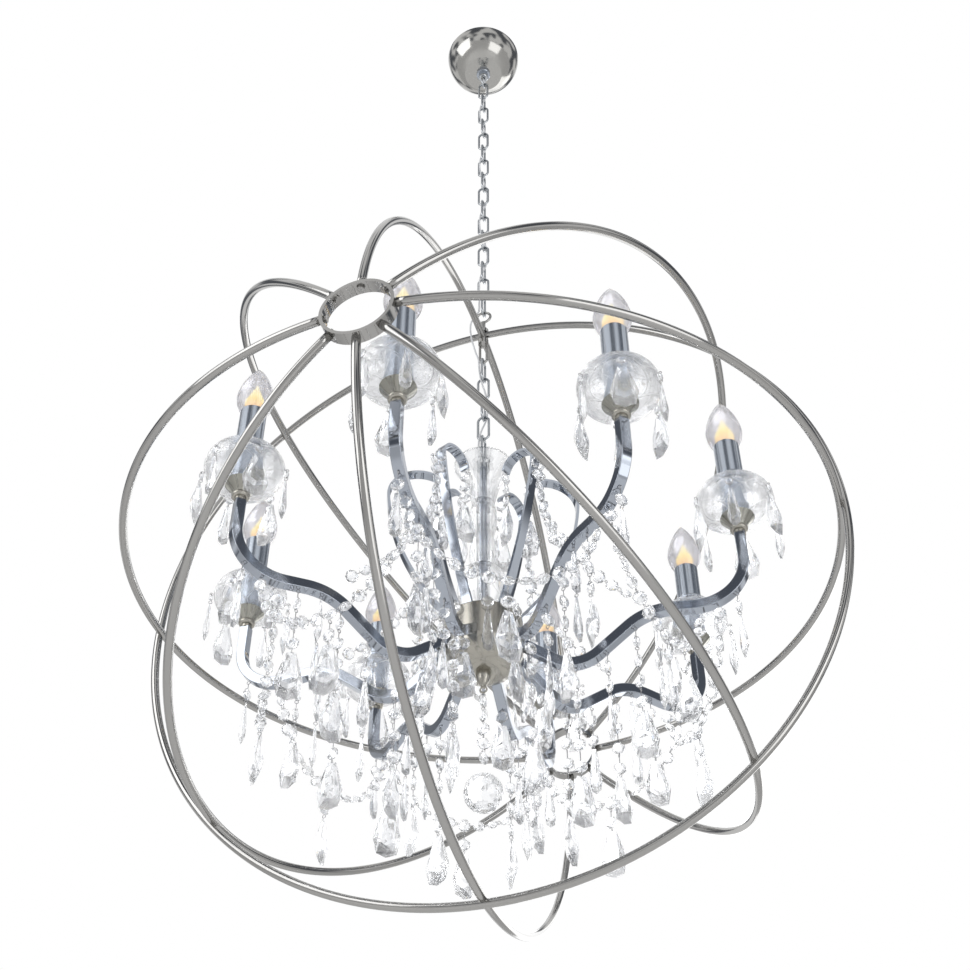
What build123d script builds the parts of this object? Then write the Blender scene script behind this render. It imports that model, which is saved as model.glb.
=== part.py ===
from build123d import *
from math import asin, cos, degrees, pi, radians, sin, sqrt, tan
import os

# Orb chandelier, hung from the ceiling on a chain. Millimetres, +Z up.
# The origin is the middle of the ceiling bracket's top face. The orb's two
# hubs lie along Y and the first of the eight arms points along -Y.

os.makedirs("parts", exist_ok=True)

# ---------------------------------------------------------------- driving sizes
orb_drop = 954.0            # ceiling to the orb's centre
running_gap = 0.3           # between pieces that move or nearly touch
fit_gap = 0.1               # round a pin, a screw or a spigot

# ceiling plate, canopy and loop
bracket_length = 92.0
bracket_width = 18.0
bracket_thickness = 2.5
slot_spacing = 70.0
slot_length = 12.0
slot_width = 5.0
nipple_radius = 5.0
nipple_bore = 3.4
nipple_end = 45.0           # below the ceiling
boss_size = 17.0            # the bracket's threaded boss, across corners
boss_height = 4.0
canopy_radius = 50.0
canopy_depth = 39.5
canopy_wall = 1.2
canopy_flat_radius = 26.0
canopy_bulge_radius = 44.0
canopy_bulge_depth = 23.0
collar_radius = 9.5
collar_height = 4.0
loop_boss_radius = 6.4
loop_boss_height = 8.0
loop_wire = 3.2
loop_height = 20.0
loop_width = 14.0
terminal_size = (22.0, 12.0, 11.0)
terminal_offset = 24.0

# chains
link_wire = 2.8
link_width = 15.0
upper_link_count = 16
lower_link_count = 5
wire_radius = 1.0
wire_offset = 3.9           # the lead's distance from the chain's middle, in X and in Y
lead_share = 0.45           # part of the shorter run that each bend of the lead takes up
lead_pivot_offset = 4.2     # the lead's distance in X and in Y where it passes a pivot
lead_end_gap = 1.0          # between two lengths of lead at a pivot
lead_bypass = 17.0          # the lead's distance from the axis where it passes the crossing

# orb
orb_radius = 349.0          # centreline of the half hoops
hoop_tube_radius = 4.0
hoop_wall = 1.0
hoop_plug = 14.0            # solid end of each hoop, for its screw
hoop_count = 8
diagonal_lead = 2.6         # degrees that the diagonal hoops stand past even spacing
ring_lift = 4.0             # the ring's centreline outside the hoops' centreline
hub_radius = 32.5
hub_wall = 3.0
hub_depth = 12.0
screw_radius = 1.6
screw_head_radius = 3.2
screw_head_height = 2.0
screw_length = 9.0

# eye, nut and hook at the orb's top
eye_above_orb = 36.0        # ring's centre above the hoops' centreline
eye_radius = 8.5
eye_wire = 3.0
shank_radius = 2.5
top_nut_radius = 6.0
top_nut_height = 5.0
hook_boss_height = 7.0
hook_wire = 3.0
hook_width = 11.0
hook_below_orb = 43.0       # the hook's lowest point below the hoops' centreline

# centre column, heights above the orb's centre
stem_loop_height = 151.0
stem_loop_radius = 6.0
stem_loop_wire = 2.8
stem_top = 138.0
stem_radius = 4.0
stem_bore = 2.6
stem_cap_radius = 6.5
stem_cap_height = 7.0
vase_rim_radius = 31.0
vase_rim_height = 144.0
vase_foot_height = 88.0
vase_waist_radius = 12.0
glass_wall = 2.2
column_radius = 14.0
column_foot_height = 4.0
urn_radius = 25.0
urn_foot_height = -50.0
body_top = -66.0
body_radius = 38.0
body_side = 34.0
body_floor = -122.0
body_wall = 1.6
body_cover_thickness = 2.0
body_cover_edge = 1.2
finial_radius = 7.0
finial_length = 15.0
finial_hook_wire = 1.6
finial_ring_radius = 3.2

# arms: square tube, radii from the column and heights above the orb's centre
arm_count = 8
candle_radius = 253.0
arm_width = 10.0
arm_wall = 1.2
arm_edge_radius = 0.8
arm_top = -14.0
arm_elbow_height = -95.0
arm_elbow_bend = 45.0
arm_crest_radius = 158.0
arm_crest_height = -84.0
arm_crest_bend = 55.0
arm_dip_radius = 90.0
arm_dip_height = -138.0
arm_dip_bend = 32.0
arm_root_radius = 32.0
arm_root_height = -92.0

# candles, heights above the orb's centre
socket_nipple_radius = 3.4
neck_radius = 8.0
neck_height = 9.0
dish_radius = 16.5
dish_height = 11.0
dish_wall = 1.0
cup_radius = 37.5
cup_belly_height = 27.0     # the widest place above the cup's foot
cup_shoulder_height = 50.0
cup_lip_height = 9.0
cup_rim_radius = 18.0
cup_wall = 2.0
sleeve_radius = 12.7
sleeve_wall = 0.9
sleeve_top = 100.6
holder_radius = 11.0
holder_drop = 6.0           # the lampholder's lip below the sleeve's top
bulb_radius = 18.5
bulb_tip = 164.0
bulb_base_radius = 6.8
bulb_base_length = 22.0
bulb_neck_radius = 9.0

# crown scrolls: flat bar bent into crooks on the body's cover
scroll_width = 10.0
scroll_thickness = 3.0
tall_foot_radius = 17.0
wide_foot_radius = 26.0

# crystals
octagon_size = 12.0
octagon_share = 0.5         # thickness of an octagon as a share of its size
octagon_taper = 40.0        # degrees of its bevel
octagon_pitch = 15.0
strand_pitch = 22.0         # from bead to bead where a strand hangs on long pins
small_octagon_size = 8.0
small_octagon_pitch = 10.5
link_pin = 1.0              # wire pin that joins each crystal to the one above
drop_cap = 3.0              # pin on top of a drop
drop_taper = 20.0
spear_length = 48.0
spear_width = 12.0
spear_thickness = 6.0
pendant_length = 50.0
pendant_width = 25.0
pendant_thickness = 9.0
strand_turn = 24.0          # degrees that each stone of a strand is turned past the one above
garland_turn = 37.0
swag_start_radius = 224.0   # where a swag leaves one arm
swag_end_radius = 206.0     # where it meets the next
swag_drop = 78.0
garland_top_turn = 5.0      # degrees beside its scroll
garland_low_turn = 9.0
garland_low_radius = 100.0
garland_low_height = -20.0
cup_drop_count = 6
ball_radius = 18.0
ball_height = -249.0
ball_latitudes = [-72, -42, -14, 14, 42, 72]

# ---------------------------------------------------------------- shared places
orb_z = -orb_drop
arm_angles = [-90.0 + 360.0 / arm_count * number for number in range(arm_count)]
hub_axis_distance = sqrt(orb_radius**2 - hub_radius**2)
eye_height = orb_radius + eye_above_orb
hook_bottom = orb_radius - hook_below_orb
hoop_start = degrees(asin(hub_radius / orb_radius))


def hoop_angle(number):
    """Angle of a half hoop from straight up, towards +X."""
    even = 360.0 / hoop_count * number
    return even + diagonal_lead if number % 2 else even


def at_height(height, radius=0.0, angle=0.0):
    """A point given from the orb's centre, the column and the +X direction."""
    return Vector(radius * cos(radians(angle)), radius * sin(radians(angle)), orb_z + height)


def radial_plane(angle):
    """Upright plane through the column: its x runs outwards and its y runs up."""
    return Plane(
        origin=(0, 0, orb_z),
        x_dir=(cos(radians(angle)), sin(radians(angle)), 0),
        z_dir=(sin(radians(angle)), -cos(radians(angle)), 0),
    )


def save(part, name):
    part.label = name
    export_step(part, f"parts/{name}.step")


def candle_places():
    """One place on the axis of each candle, turned with its arm."""
    return [Location(at_height(0, candle_radius, angle), (0, 0, angle)) for angle in arm_angles]


def wire_loop(width, height, wire, place, turn):
    """Closed stadium of round wire in an upright plane, with its middle at place."""
    with BuildPart() as link:
        middle = Plane(origin=place, x_dir=(cos(radians(turn)), sin(radians(turn)), 0),
                       z_dir=(sin(radians(turn)), -cos(radians(turn)), 0))
        bend = (width - wire) / 2
        leg = height / 2 - wire / 2 - bend
        with BuildLine(middle) as outline:
            Line((bend, -leg), (bend, leg))
            CenterArc((0, leg), bend, 0, 180)
            Line((-bend, leg), (-bend, -leg))
            CenterArc((0, -leg), bend, 180, 180)
        with BuildSketch(Plane(origin=middle.from_local_coords((bend, -leg, 0)), z_dir=(0, 0, 1))):
            Circle(wire / 2)
        sweep(path=outline.wires()[0])
    return link.part


# ---------------------------------------------------------------- ceiling
with BuildPart() as ceiling_bracket:
    with BuildSketch(Plane.XY.offset(-bracket_thickness)):
        SlotOverall(bracket_length, bracket_width)
        with GridLocations(slot_spacing, 0, 2, 1):
            SlotOverall(slot_length, slot_width, mode=Mode.SUBTRACT)
    extrude(amount=bracket_thickness)
    with BuildSketch(Plane.XY.offset(-bracket_thickness - boss_height)):
        RegularPolygon(boss_size / 2, 6)
    extrude(amount=boss_height)
    with BuildSketch(Plane.XY):
        Circle(nipple_radius + fit_gap)
    extrude(amount=-bracket_thickness - boss_height, mode=Mode.SUBTRACT)
save(ceiling_bracket.part, "ceiling_bracket")

with BuildPart() as canopy_nipple:
    with BuildSketch(Plane.XY.offset(-nipple_end)):
        Circle(nipple_radius)
        Circle(nipple_bore, mode=Mode.SUBTRACT)
    extrude(amount=nipple_end - fit_gap)
save(canopy_nipple.part, "canopy_nipple")

with BuildPart() as terminal_block:
    with Locations((terminal_offset, 0, -bracket_thickness - terminal_size[2] / 2)):
        Box(*terminal_size)
    fillet(terminal_block.edges().filter_by(Axis.Z), radius=1.5)
save(terminal_block.part, "terminal_block")

with BuildPart() as canopy:
    with BuildSketch(Plane.XZ):
        with BuildLine():
            dome = ThreePointArc(
                (canopy_radius, 0),
                (canopy_bulge_radius, -canopy_bulge_depth),
                (canopy_flat_radius, -canopy_depth),
            )
            flat = Line(dome @ 1, (nipple_radius + fit_gap, -canopy_depth))
            rise = Line(flat @ 1, (nipple_radius + fit_gap, -canopy_depth + canopy_wall))
            inside_flat = Line(rise @ 1, (canopy_flat_radius - canopy_wall, -canopy_depth + canopy_wall))
            inside = ThreePointArc(
                inside_flat @ 1,
                (canopy_bulge_radius - canopy_wall, -canopy_bulge_depth + canopy_wall * 0.6),
                (canopy_radius - canopy_wall, 0),
            )
            Line(inside @ 1, dome @ 0)
        make_face()
    revolve(axis=Axis.Z)
save(canopy.part, "canopy")

collar_top = -canopy_depth - fit_gap
with BuildPart() as collar_nut:
    with BuildSketch(Plane.XY.offset(collar_top - collar_height)):
        Circle(collar_radius)
        Circle(nipple_radius + fit_gap, mode=Mode.SUBTRACT)
    extrude(amount=collar_height)
    chamfer(collar_nut.faces().sort_by(Axis.Z)[0].edges(), length=0.6)
save(collar_nut.part, "collar_nut")

# The loop's boss screws on to the nipple; the lead comes out through its middle.
boss_top = collar_top - collar_height - running_gap + fit_gap
with BuildPart() as canopy_loop:
    with BuildSketch(Plane.XY.offset(boss_top - loop_boss_height)):
        Circle(loop_boss_radius)
    extrude(amount=loop_boss_height)
    chamfer(canopy_loop.faces().sort_by(Axis.Z)[0].edges(), length=0.8)
    add(wire_loop(loop_width, loop_height + loop_wire, loop_wire,
                  (0, 0, boss_top - loop_boss_height - loop_height / 2 + loop_wire / 2), 90))
    with Locations((0, 0, boss_top)):
        Cylinder(nipple_radius + fit_gap, 2 * (boss_top + nipple_end + fit_gap), mode=Mode.SUBTRACT)
    with Locations((0, 0, boss_top - loop_boss_height)):
        Cylinder(wire_radius * 2.2, 2 * loop_boss_height, mode=Mode.SUBTRACT)
save(canopy_loop.part, "canopy_loop")

# ---------------------------------------------------------------- chains
loop_wire_centre = boss_top - loop_boss_height - loop_height + loop_wire / 2
eye_wire_centre = orb_z + eye_height + eye_radius
hook_wire_centre = orb_z + hook_bottom + hook_wire / 2
stem_loop_wire_centre = orb_z + stem_loop_height + stem_loop_radius


def hang_chain(top_centre, top_wire, bottom_centre, bottom_wire, count, first_turn):
    """Links from one wire to another, each turned a quarter from the last."""
    reach_top = top_centre + (top_wire + link_wire) / 2 + running_gap
    reach_bottom = bottom_centre - (bottom_wire + link_wire) / 2 - running_gap
    overlap = link_wire + running_gap
    pitch = (reach_top - reach_bottom - overlap) / count
    height = pitch + overlap + link_wire
    middle = reach_top + link_wire / 2 - height / 2
    links = []
    for number in range(count):
        place = (0, 0, middle - number * pitch)
        links.append(wire_loop(link_width, height, link_wire, place, first_turn + 90 * (number % 2)))
    return links, pitch, reach_top


upper_links, upper_pitch, upper_reach = hang_chain(
    loop_wire_centre, loop_wire, eye_wire_centre, eye_wire, upper_link_count, 0)
with BuildPart() as upper_chain:
    add(upper_links)
save(upper_chain.part, "upper_chain")

lower_links, lower_pitch, lower_reach = hang_chain(
    hook_wire_centre, hook_wire, stem_loop_wire_centre, stem_loop_wire, lower_link_count, 90)
with BuildPart() as lower_chain:
    add(lower_links)
save(lower_chain.part, "lower_chain")


def woven_points(reach, pitch, count, first_side):
    """The lead beside each meeting of two links, changing sides every second link."""
    points = []
    for number in range(1, count):
        side = first_side * (1 if (number // 2) % 2 == 0 else -1)
        level = reach - number * pitch + link_wire / 2
        points.append((side * wire_offset, side * wire_offset, level))
    return points


def bend_radii(points):
    """Radius of each bend of the lead, as large as its two runs allow."""
    radii = []
    for before, corner, after in zip(points, points[1:], points[2:]):
        run_in = Vector(*corner) - Vector(*before)
        run_out = Vector(*after) - Vector(*corner)
        half_turn = radians(run_in.get_angle(run_out) / 2)
        radii.append(lead_share * min(run_in.length, run_out.length) / tan(half_turn))
    return radii


def lead(points):
    """Round lead along straight runs joined by arcs."""
    radii = bend_radii(points)
    print("lead bends", [round(radius, 1) for radius in radii])
    with BuildPart() as cord:
        with BuildLine() as route:
            FilletPolyline(*points, radius=radii)
        with BuildSketch(Plane(origin=points[0], z_dir=Vector(*points[1]) - Vector(*points[0]))):
            Circle(wire_radius)
        sweep(path=route.wires()[0])
    print("lead volume share", round(cord.part.volume / (pi * wire_radius**2 * route.wires()[0].length), 4))
    return cord.part


# The lead's lengths meet at the pivots, so that each stays with the piece it runs along.
loop_mouth = boss_top - loop_boss_height
top_route = [
    (0, 0, loop_mouth - running_gap),
    (wire_offset * 0.3, wire_offset * 0.3, loop_mouth - loop_height * 0.3),
    (wire_offset, wire_offset, loop_wire_centre + lead_end_gap),
]
with BuildPart() as supply_lead_top:
    add(lead(top_route))
save(supply_lead_top.part, "supply_lead_top")

upper_route = [(wire_offset, wire_offset, loop_wire_centre)]
upper_route.extend(woven_points(upper_reach, upper_pitch, upper_link_count, 1))
side = -lead_pivot_offset
upper_route.append((side, side, eye_wire_centre + lead_end_gap))
with BuildPart() as supply_lead_upper:
    add(lead(upper_route))
save(supply_lead_upper.part, "supply_lead_upper")

# Below the eye the lead swings out past the crossing and comes back to the lower chain.
bypass_side = -lead_bypass / sqrt(2)
crossing_level = orb_z + orb_radius
middle_route = [
    (side, side, eye_wire_centre),
    (side * 1.5, side * 1.5, orb_z + eye_height),
    (bypass_side, bypass_side, orb_z + eye_height - 2 * eye_radius),
    (bypass_side, bypass_side, crossing_level - hoop_tube_radius),
    (side * 1.6, side * 1.6, orb_z + hook_bottom + hook_width),
    (side, side, hook_wire_centre + lead_end_gap),
]
with BuildPart() as supply_lead_middle:
    add(lead(middle_route))
save(supply_lead_middle.part, "supply_lead_middle")

stem_cap_top = orb_z + stem_top + running_gap + stem_cap_height
lower_route = [(side, side, hook_wire_centre)]
lower_route.extend(woven_points(lower_reach, lower_pitch, lower_link_count, -1))
lower_route.append((side, side * 1.2, orb_z + stem_loop_height + stem_loop_radius))
lower_route.append((side * 0.75, side * 1.1, stem_cap_top + lead_end_gap))
with BuildPart() as supply_lead_lower:
    add(lead(lower_route))
save(supply_lead_lower.part, "supply_lead_lower")

# ---------------------------------------------------------------- orb
orb_centre = (0, 0, orb_z)


def hub_plane(side):
    """Middle of a hub band, facing outwards; side is -1 for the first hub and 1 for the other."""
    return Plane(origin=(0, side * hub_axis_distance, orb_z), x_dir=(1, 0, 0), z_dir=(0, side, 0))


def hoop_plane(number):
    """Plane of a half hoop: its x runs out to the hoop's middle and its y runs along the hubs."""
    turn = radians(hoop_angle(number))
    return Plane(origin=orb_centre, x_dir=(sin(turn), 0, cos(turn)), z_dir=(-cos(turn), 0, sin(turn)))


def screw_plane(number, side, radius):
    """On a hoop's screw, at a distance from the hub's axis, facing outwards."""
    turn = radians(hoop_angle(number))
    outward = Vector(sin(turn), 0, cos(turn))
    origin = Vector(0, side * hub_axis_distance, orb_z) + outward * radius
    return Plane(origin=origin, x_dir=(0, 1, 0), z_dir=outward)


def hub_band(side):
    with BuildPart() as band:
        with BuildSketch(hub_plane(side).offset(-hub_depth / 2)):
            Circle(hub_radius)
            Circle(hub_radius - hub_wall, mode=Mode.SUBTRACT)
        extrude(amount=hub_depth)
        for number in range(hoop_count):
            with BuildSketch(screw_plane(number, side, hub_radius - hub_wall * 2)):
                Circle(screw_radius + fit_gap)
            extrude(amount=hub_wall * 3, mode=Mode.SUBTRACT)
    return band.part


save(hub_band(-1), "front_hub")
save(hub_band(1), "rear_hub")

screw_seat_radius = sqrt((hub_radius - hub_wall)**2 - screw_head_radius**2)
with BuildPart() as hub_screws:
    for side in (-1, 1):
        for number in range(hoop_count):
            seat = screw_plane(number, side, screw_seat_radius - fit_gap)
            with BuildSketch(seat):
                Circle(screw_head_radius)
            extrude(amount=-screw_head_height)
            with BuildSketch(seat):
                Circle(screw_radius)
            extrude(amount=screw_length)
save(hub_screws.part, "hub_screws")


def half_hoop(number):
    """Tube bent to half a circle, with solid tapped ends and a saddle for the ring."""
    plane = hoop_plane(number)
    plug_angle = degrees(hoop_plug / orb_radius)
    inner_start = -90 + hoop_start + plug_angle
    with BuildPart() as hoop:
        with BuildLine(plane) as outer_path:
            CenterArc((0, 0), orb_radius, -90 + hoop_start * 0.9, 180 - 2 * hoop_start * 0.9)
        with BuildSketch(Plane(origin=outer_path.line @ 0, z_dir=outer_path.line % 0)):
            Circle(hoop_tube_radius)
        sweep(path=outer_path.wires()[0])
        with BuildLine(plane) as inner_path:
            CenterArc((0, 0), orb_radius, inner_start, -2 * inner_start)
        with BuildSketch(Plane(origin=inner_path.line @ 0, z_dir=inner_path.line % 0)):
            Circle(hoop_tube_radius - hoop_wall)
        sweep(path=inner_path.wires()[0], mode=Mode.SUBTRACT)
        for side in (-1, 1):
            with BuildSketch(hub_plane(side).offset(-hub_depth)):
                Circle(hub_radius + fit_gap)
            extrude(amount=hub_depth * 2, mode=Mode.SUBTRACT)
            with BuildSketch(screw_plane(number, side, hub_radius)):
                Circle(screw_radius + fit_gap)
            extrude(amount=hoop_plug + hoop_tube_radius, mode=Mode.SUBTRACT)
        saddle = Plane(
            origin=plane.from_local_coords((orb_radius + ring_lift, 0, 0)),
            x_dir=(0, 1, 0),
            z_dir=plane.z_dir,
        )
        with BuildSketch(saddle.offset(-2 * hoop_tube_radius)):
            Circle(hoop_tube_radius + fit_gap)
        extrude(amount=4 * hoop_tube_radius, mode=Mode.SUBTRACT)
        if number == 0:
            with BuildSketch(Plane.XY.offset(orb_z + orb_radius - 2 * hoop_tube_radius)):
                Circle(shank_radius + running_gap)
            extrude(amount=4 * hoop_tube_radius, mode=Mode.SUBTRACT)
    return hoop.part


hoop_names = ["top", "upper_right", "right", "lower_right", "bottom", "lower_left", "left", "upper_left"]
for number, place in enumerate(hoop_names):
    save(half_hoop(number), f"{place}_half_hoop")

with BuildPart() as cross_ring:
    with BuildSketch(Plane.XZ):
        with Locations((orb_radius + ring_lift, 0)):
            Circle(hoop_tube_radius)
            Circle(hoop_tube_radius - hoop_wall, mode=Mode.SUBTRACT)
    revolve(axis=Axis.Z)
with BuildPart() as cross_ring_upright:
    with Locations(Location(orb_centre, (90, 0, 0))):
        add(cross_ring.part)
    with BuildSketch(Plane.XY.offset(orb_z + orb_radius - 2 * hoop_tube_radius)):
        Circle(shank_radius + running_gap)
    extrude(amount=6 * hoop_tube_radius, mode=Mode.SUBTRACT)
save(cross_ring_upright.part, "cross_ring")

# ---------------------------------------------------------------- eye, nut and hook
ring_top = orb_z + orb_radius + ring_lift + hoop_tube_radius
hoop_underside = orb_z + orb_radius - hoop_tube_radius
hook_boss_top = hoop_underside - fit_gap
hook_boss_bottom = hook_boss_top - hook_boss_height
with BuildPart() as orb_eye:
    with BuildSketch(Plane.XZ):
        with Locations((eye_radius, 0)):
            Circle(eye_wire / 2)
    revolve(axis=Axis.Z)
with BuildPart() as eye_bolt:
    with Locations(Location((0, 0, orb_z + eye_height), (90, 0, 0))):
        add(orb_eye.part)
    with BuildSketch(Plane.XY.offset(ring_top + fit_gap)):
        Circle(top_nut_radius)
    extrude(amount=top_nut_height)
    with BuildSketch(Plane.XY.offset(hook_boss_bottom + running_gap)):
        Circle(shank_radius)
    extrude(amount=orb_z + eye_height - eye_radius - (hook_boss_bottom + running_gap))
save(eye_bolt.part, "orb_eye")

hook_height = hook_boss_bottom - (orb_z + hook_bottom) + hook_wire
with BuildPart() as lower_hook:
    add(wire_loop(hook_width, hook_height, hook_wire,
                  (0, 0, orb_z + hook_bottom + hook_height / 2), 0))
    with BuildSketch(Plane.XY.offset(hook_boss_bottom)):
        Circle(top_nut_radius)
    extrude(amount=hook_boss_height)
    with BuildSketch(Plane.XY.offset(hook_boss_bottom - hook_wire)):
        Circle(shank_radius + fit_gap)
    extrude(amount=hook_boss_height + 2 * hook_wire, mode=Mode.SUBTRACT)
save(lower_hook.part, "lower_hook")

# ---------------------------------------------------------------- column
with BuildPart() as stem_loop:
    with Locations(Location(at_height(stem_loop_height), (90, 0, 0))):
        Torus(stem_loop_radius, stem_loop_wire / 2)
    with BuildSketch(Plane.XY.offset(orb_z + stem_top + running_gap)):
        Circle(stem_cap_radius)
    extrude(amount=stem_cap_height)
    with BuildSketch(Plane.XY.offset(orb_z + stem_top + running_gap)):
        Circle(stem_bore - fit_gap)
    extrude(amount=-stem_cap_height)
save(stem_loop.part, "stem_loop")

stem_foot = body_floor + body_wall
with BuildPart() as centre_stem:
    with BuildSketch(Plane.XY.offset(orb_z + stem_foot - finial_radius)):
        Circle(stem_radius)
        Circle(stem_bore, mode=Mode.SUBTRACT)
    extrude(amount=stem_top - stem_foot + finial_radius)
save(centre_stem.part, "centre_stem")

upright = Plane(origin=orb_centre, x_dir=(1, 0, 0), z_dir=(0, -1, 0))
bore = stem_radius + running_gap

with BuildPart() as glass_vase:
    with BuildSketch(upright):
        with BuildLine():
            flare = ThreePointArc(
                (vase_waist_radius, vase_foot_height),
                (vase_waist_radius + 4.5, vase_foot_height + 25),
                (vase_rim_radius, vase_rim_height),
            )
            lip = Line(flare @ 1, (vase_rim_radius - glass_wall, vase_rim_height))
            throat = ThreePointArc(
                lip @ 1,
                (vase_waist_radius + 4.5 - glass_wall, vase_foot_height + 27),
                (vase_waist_radius - glass_wall, vase_foot_height + 2 * glass_wall),
            )
            floor = Line(throat @ 1, (bore, vase_foot_height + 2 * glass_wall))
            wall = Line(floor @ 1, (bore, vase_foot_height))
            Line(wall @ 1, flare @ 0)
        make_face()
    revolve(axis=Axis((0, 0, orb_z), (0, 0, 1)))
save(glass_vase.part, "glass_vase")

column_top = vase_foot_height - running_gap
column_middle = (column_top + column_foot_height) / 2
with BuildPart() as glass_column:
    with BuildSketch(upright):
        with BuildLine():
            top = Line((bore, column_top), (vase_waist_radius, column_top))
            upper = ThreePointArc(
                top @ 1,
                (column_radius, (column_top + column_middle) / 2),
                (column_radius * 0.72, column_middle),
            )
            lower = ThreePointArc(
                upper @ 1,
                (column_radius, (column_foot_height + column_middle) / 2),
                (vase_waist_radius, column_foot_height),
            )
            foot = Line(lower @ 1, (bore, column_foot_height))
            Line(foot @ 1, top @ 0)
        make_face()
    revolve(axis=Axis((0, 0, orb_z), (0, 0, 1)))
save(glass_column.part, "glass_column")

urn_top = column_foot_height - running_gap
with BuildPart() as glass_urn:
    with BuildSketch(upright):
        with BuildLine():
            top = Line((bore, urn_top), (column_radius, urn_top))
            belly = ThreePointArc(
                top @ 1,
                (urn_radius, (urn_top + urn_foot_height) / 2 + 6),
                (column_radius, urn_foot_height),
            )
            foot = Line(belly @ 1, (bore, urn_foot_height))
            Line(foot @ 1, top @ 0)
        make_face()
    revolve(axis=Axis((0, 0, orb_z), (0, 0, 1)))
save(glass_urn.part, "glass_urn")

with BuildPart() as body_cover:
    with BuildSketch(Plane.XY.offset(orb_z + body_top)):
        Circle(body_radius)
        Circle(bore, mode=Mode.SUBTRACT)
    extrude(amount=body_cover_thickness)
    fillet(body_cover.faces().sort_by(Axis.Z)[-1].edges().sort_by(SortBy.LENGTH)[-1], radius=body_cover_edge)
    with BuildSketch(Plane.XY.offset(orb_z + body_top + body_cover_thickness)):
        Circle(column_radius)
        Circle(bore, mode=Mode.SUBTRACT)
    extrude(amount=urn_foot_height - body_top - body_cover_thickness - running_gap)
save(body_cover.part, "body_cover")

side_floor = body_top - body_side
bowl_bulge_radius = body_radius * 0.78
bowl_bulge_height = side_floor - (side_floor - body_floor) * 0.72
with BuildPart() as body_bowl:
    with BuildSketch(upright):
        with BuildLine():
            rim = Line((body_radius - body_wall, body_top - fit_gap), (body_radius, body_top - fit_gap))
            side = Line(rim @ 1, (body_radius, side_floor))
            bottom = ThreePointArc(
                side @ 1,
                (bowl_bulge_radius, bowl_bulge_height),
                (finial_radius + body_wall, body_floor),
            )
            seat = Line(bottom @ 1, (stem_radius + fit_gap, body_floor))
            rise = Line(seat @ 1, (stem_radius + fit_gap, body_floor + body_wall))
            inside = ThreePointArc(
                rise @ 1,
                (bowl_bulge_radius - body_wall * 0.6, bowl_bulge_height + body_wall),
                (body_radius - body_wall, side_floor),
            )
            Line(inside @ 1, rim @ 0)
        make_face()
    revolve(axis=Axis((0, 0, orb_z), (0, 0, 1)))

# ---------------------------------------------------------------- arms
arm_corners = [
    (candle_radius, arm_top),
    (candle_radius, arm_elbow_height),
    (arm_crest_radius, arm_crest_height),
    (arm_dip_radius, arm_dip_height),
    (arm_root_radius, arm_root_height),
]
arm_bends = [arm_elbow_bend, arm_crest_bend, arm_dip_bend]


def arm(angle):
    """Square tube from the body out to the candle, with a cap drilled for the candle's nipple."""
    plane = radial_plane(angle)
    with BuildPart() as tube:
        with BuildLine(plane) as route:
            FilletPolyline(*arm_corners, radius=arm_bends)
        section = Plane(origin=route.line @ 0, x_dir=plane.z_dir, z_dir=route.line % 0)
        with BuildSketch(section):
            RectangleRounded(arm_width, arm_width, arm_edge_radius)
            Rectangle(arm_width - 2 * arm_wall, arm_width - 2 * arm_wall, mode=Mode.SUBTRACT)
        sweep(path=route.wires()[0])
        with BuildSketch(section):
            RectangleRounded(arm_width, arm_width, arm_edge_radius)
            Circle(socket_nipple_radius + fit_gap, mode=Mode.SUBTRACT)
        extrude(amount=2 * arm_wall)
    return tube.part


arms = [arm(angle) for angle in arm_angles]
for number, tube in enumerate(arms, start=1):
    save(tube, f"arm_{number}")

arm_path = FilletPolyline(*arm_corners, radius=arm_bends)
root_direction = arm_path % 1
with BuildPart() as body_bowl_drilled:
    add(body_bowl.part)
    for angle in arm_angles:
        plane = radial_plane(angle)
        root = plane.from_local_coords((arm_root_radius, arm_root_height, 0))
        inward = plane.x_dir * root_direction.X + plane.y_dir * root_direction.Y
        with BuildSketch(Plane(origin=root - inward * 4 * arm_width, x_dir=plane.z_dir, z_dir=inward)):
            Rectangle(arm_width + 2 * fit_gap, arm_width + 2 * fit_gap)
        extrude(amount=4 * arm_width + 2, mode=Mode.SUBTRACT)
save(body_bowl_drilled.part, "body_bowl")

# ---------------------------------------------------------------- finial
finial_ring_height = body_floor - finial_length - finial_ring_radius
with BuildPart() as finial:
    with BuildSketch(upright):
        with BuildLine():
            top = Line((stem_bore - fit_gap, body_floor - fit_gap), (finial_radius, body_floor - fit_gap))
            side = ThreePointArc(
                top @ 1,
                (finial_radius * 0.75, body_floor - finial_length * 0.6),
                (finial_hook_wire, body_floor - finial_length),
            )
            end = Line(side @ 1, (0, body_floor - finial_length))
            core = Line(end @ 1, (0, body_floor + finial_length))
            tip = Line(core @ 1, (stem_bore - fit_gap, body_floor + finial_length))
            Line(tip @ 1, top @ 0)
        make_face()
    revolve(axis=Axis((0, 0, orb_z), (0, 0, 1)))
    with Locations((0, 0, orb_z + body_floor)):
        Cylinder(stem_radius + fit_gap, 2 * (finial_radius - body_wall + fit_gap), mode=Mode.SUBTRACT)
        Cylinder(stem_bore - fit_gap, 2 * finial_length)
    with Locations(Location(at_height(finial_ring_height), (90, 0, 0))):
        Torus(finial_ring_radius, finial_hook_wire / 2)
save(finial.part, "finial")

# ---------------------------------------------------------------- candles
candle_axis = Axis((0, 0, 0), (0, 0, 1))
neck_bottom = arm_top + fit_gap
neck_top = neck_bottom + neck_height
dish_bottom = neck_top + fit_gap
dish_top = dish_bottom + dish_height
cup_foot = dish_bottom + dish_wall + fit_gap
cup_belly = cup_foot + cup_belly_height
nipple_clear = socket_nipple_radius + fit_gap

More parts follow.
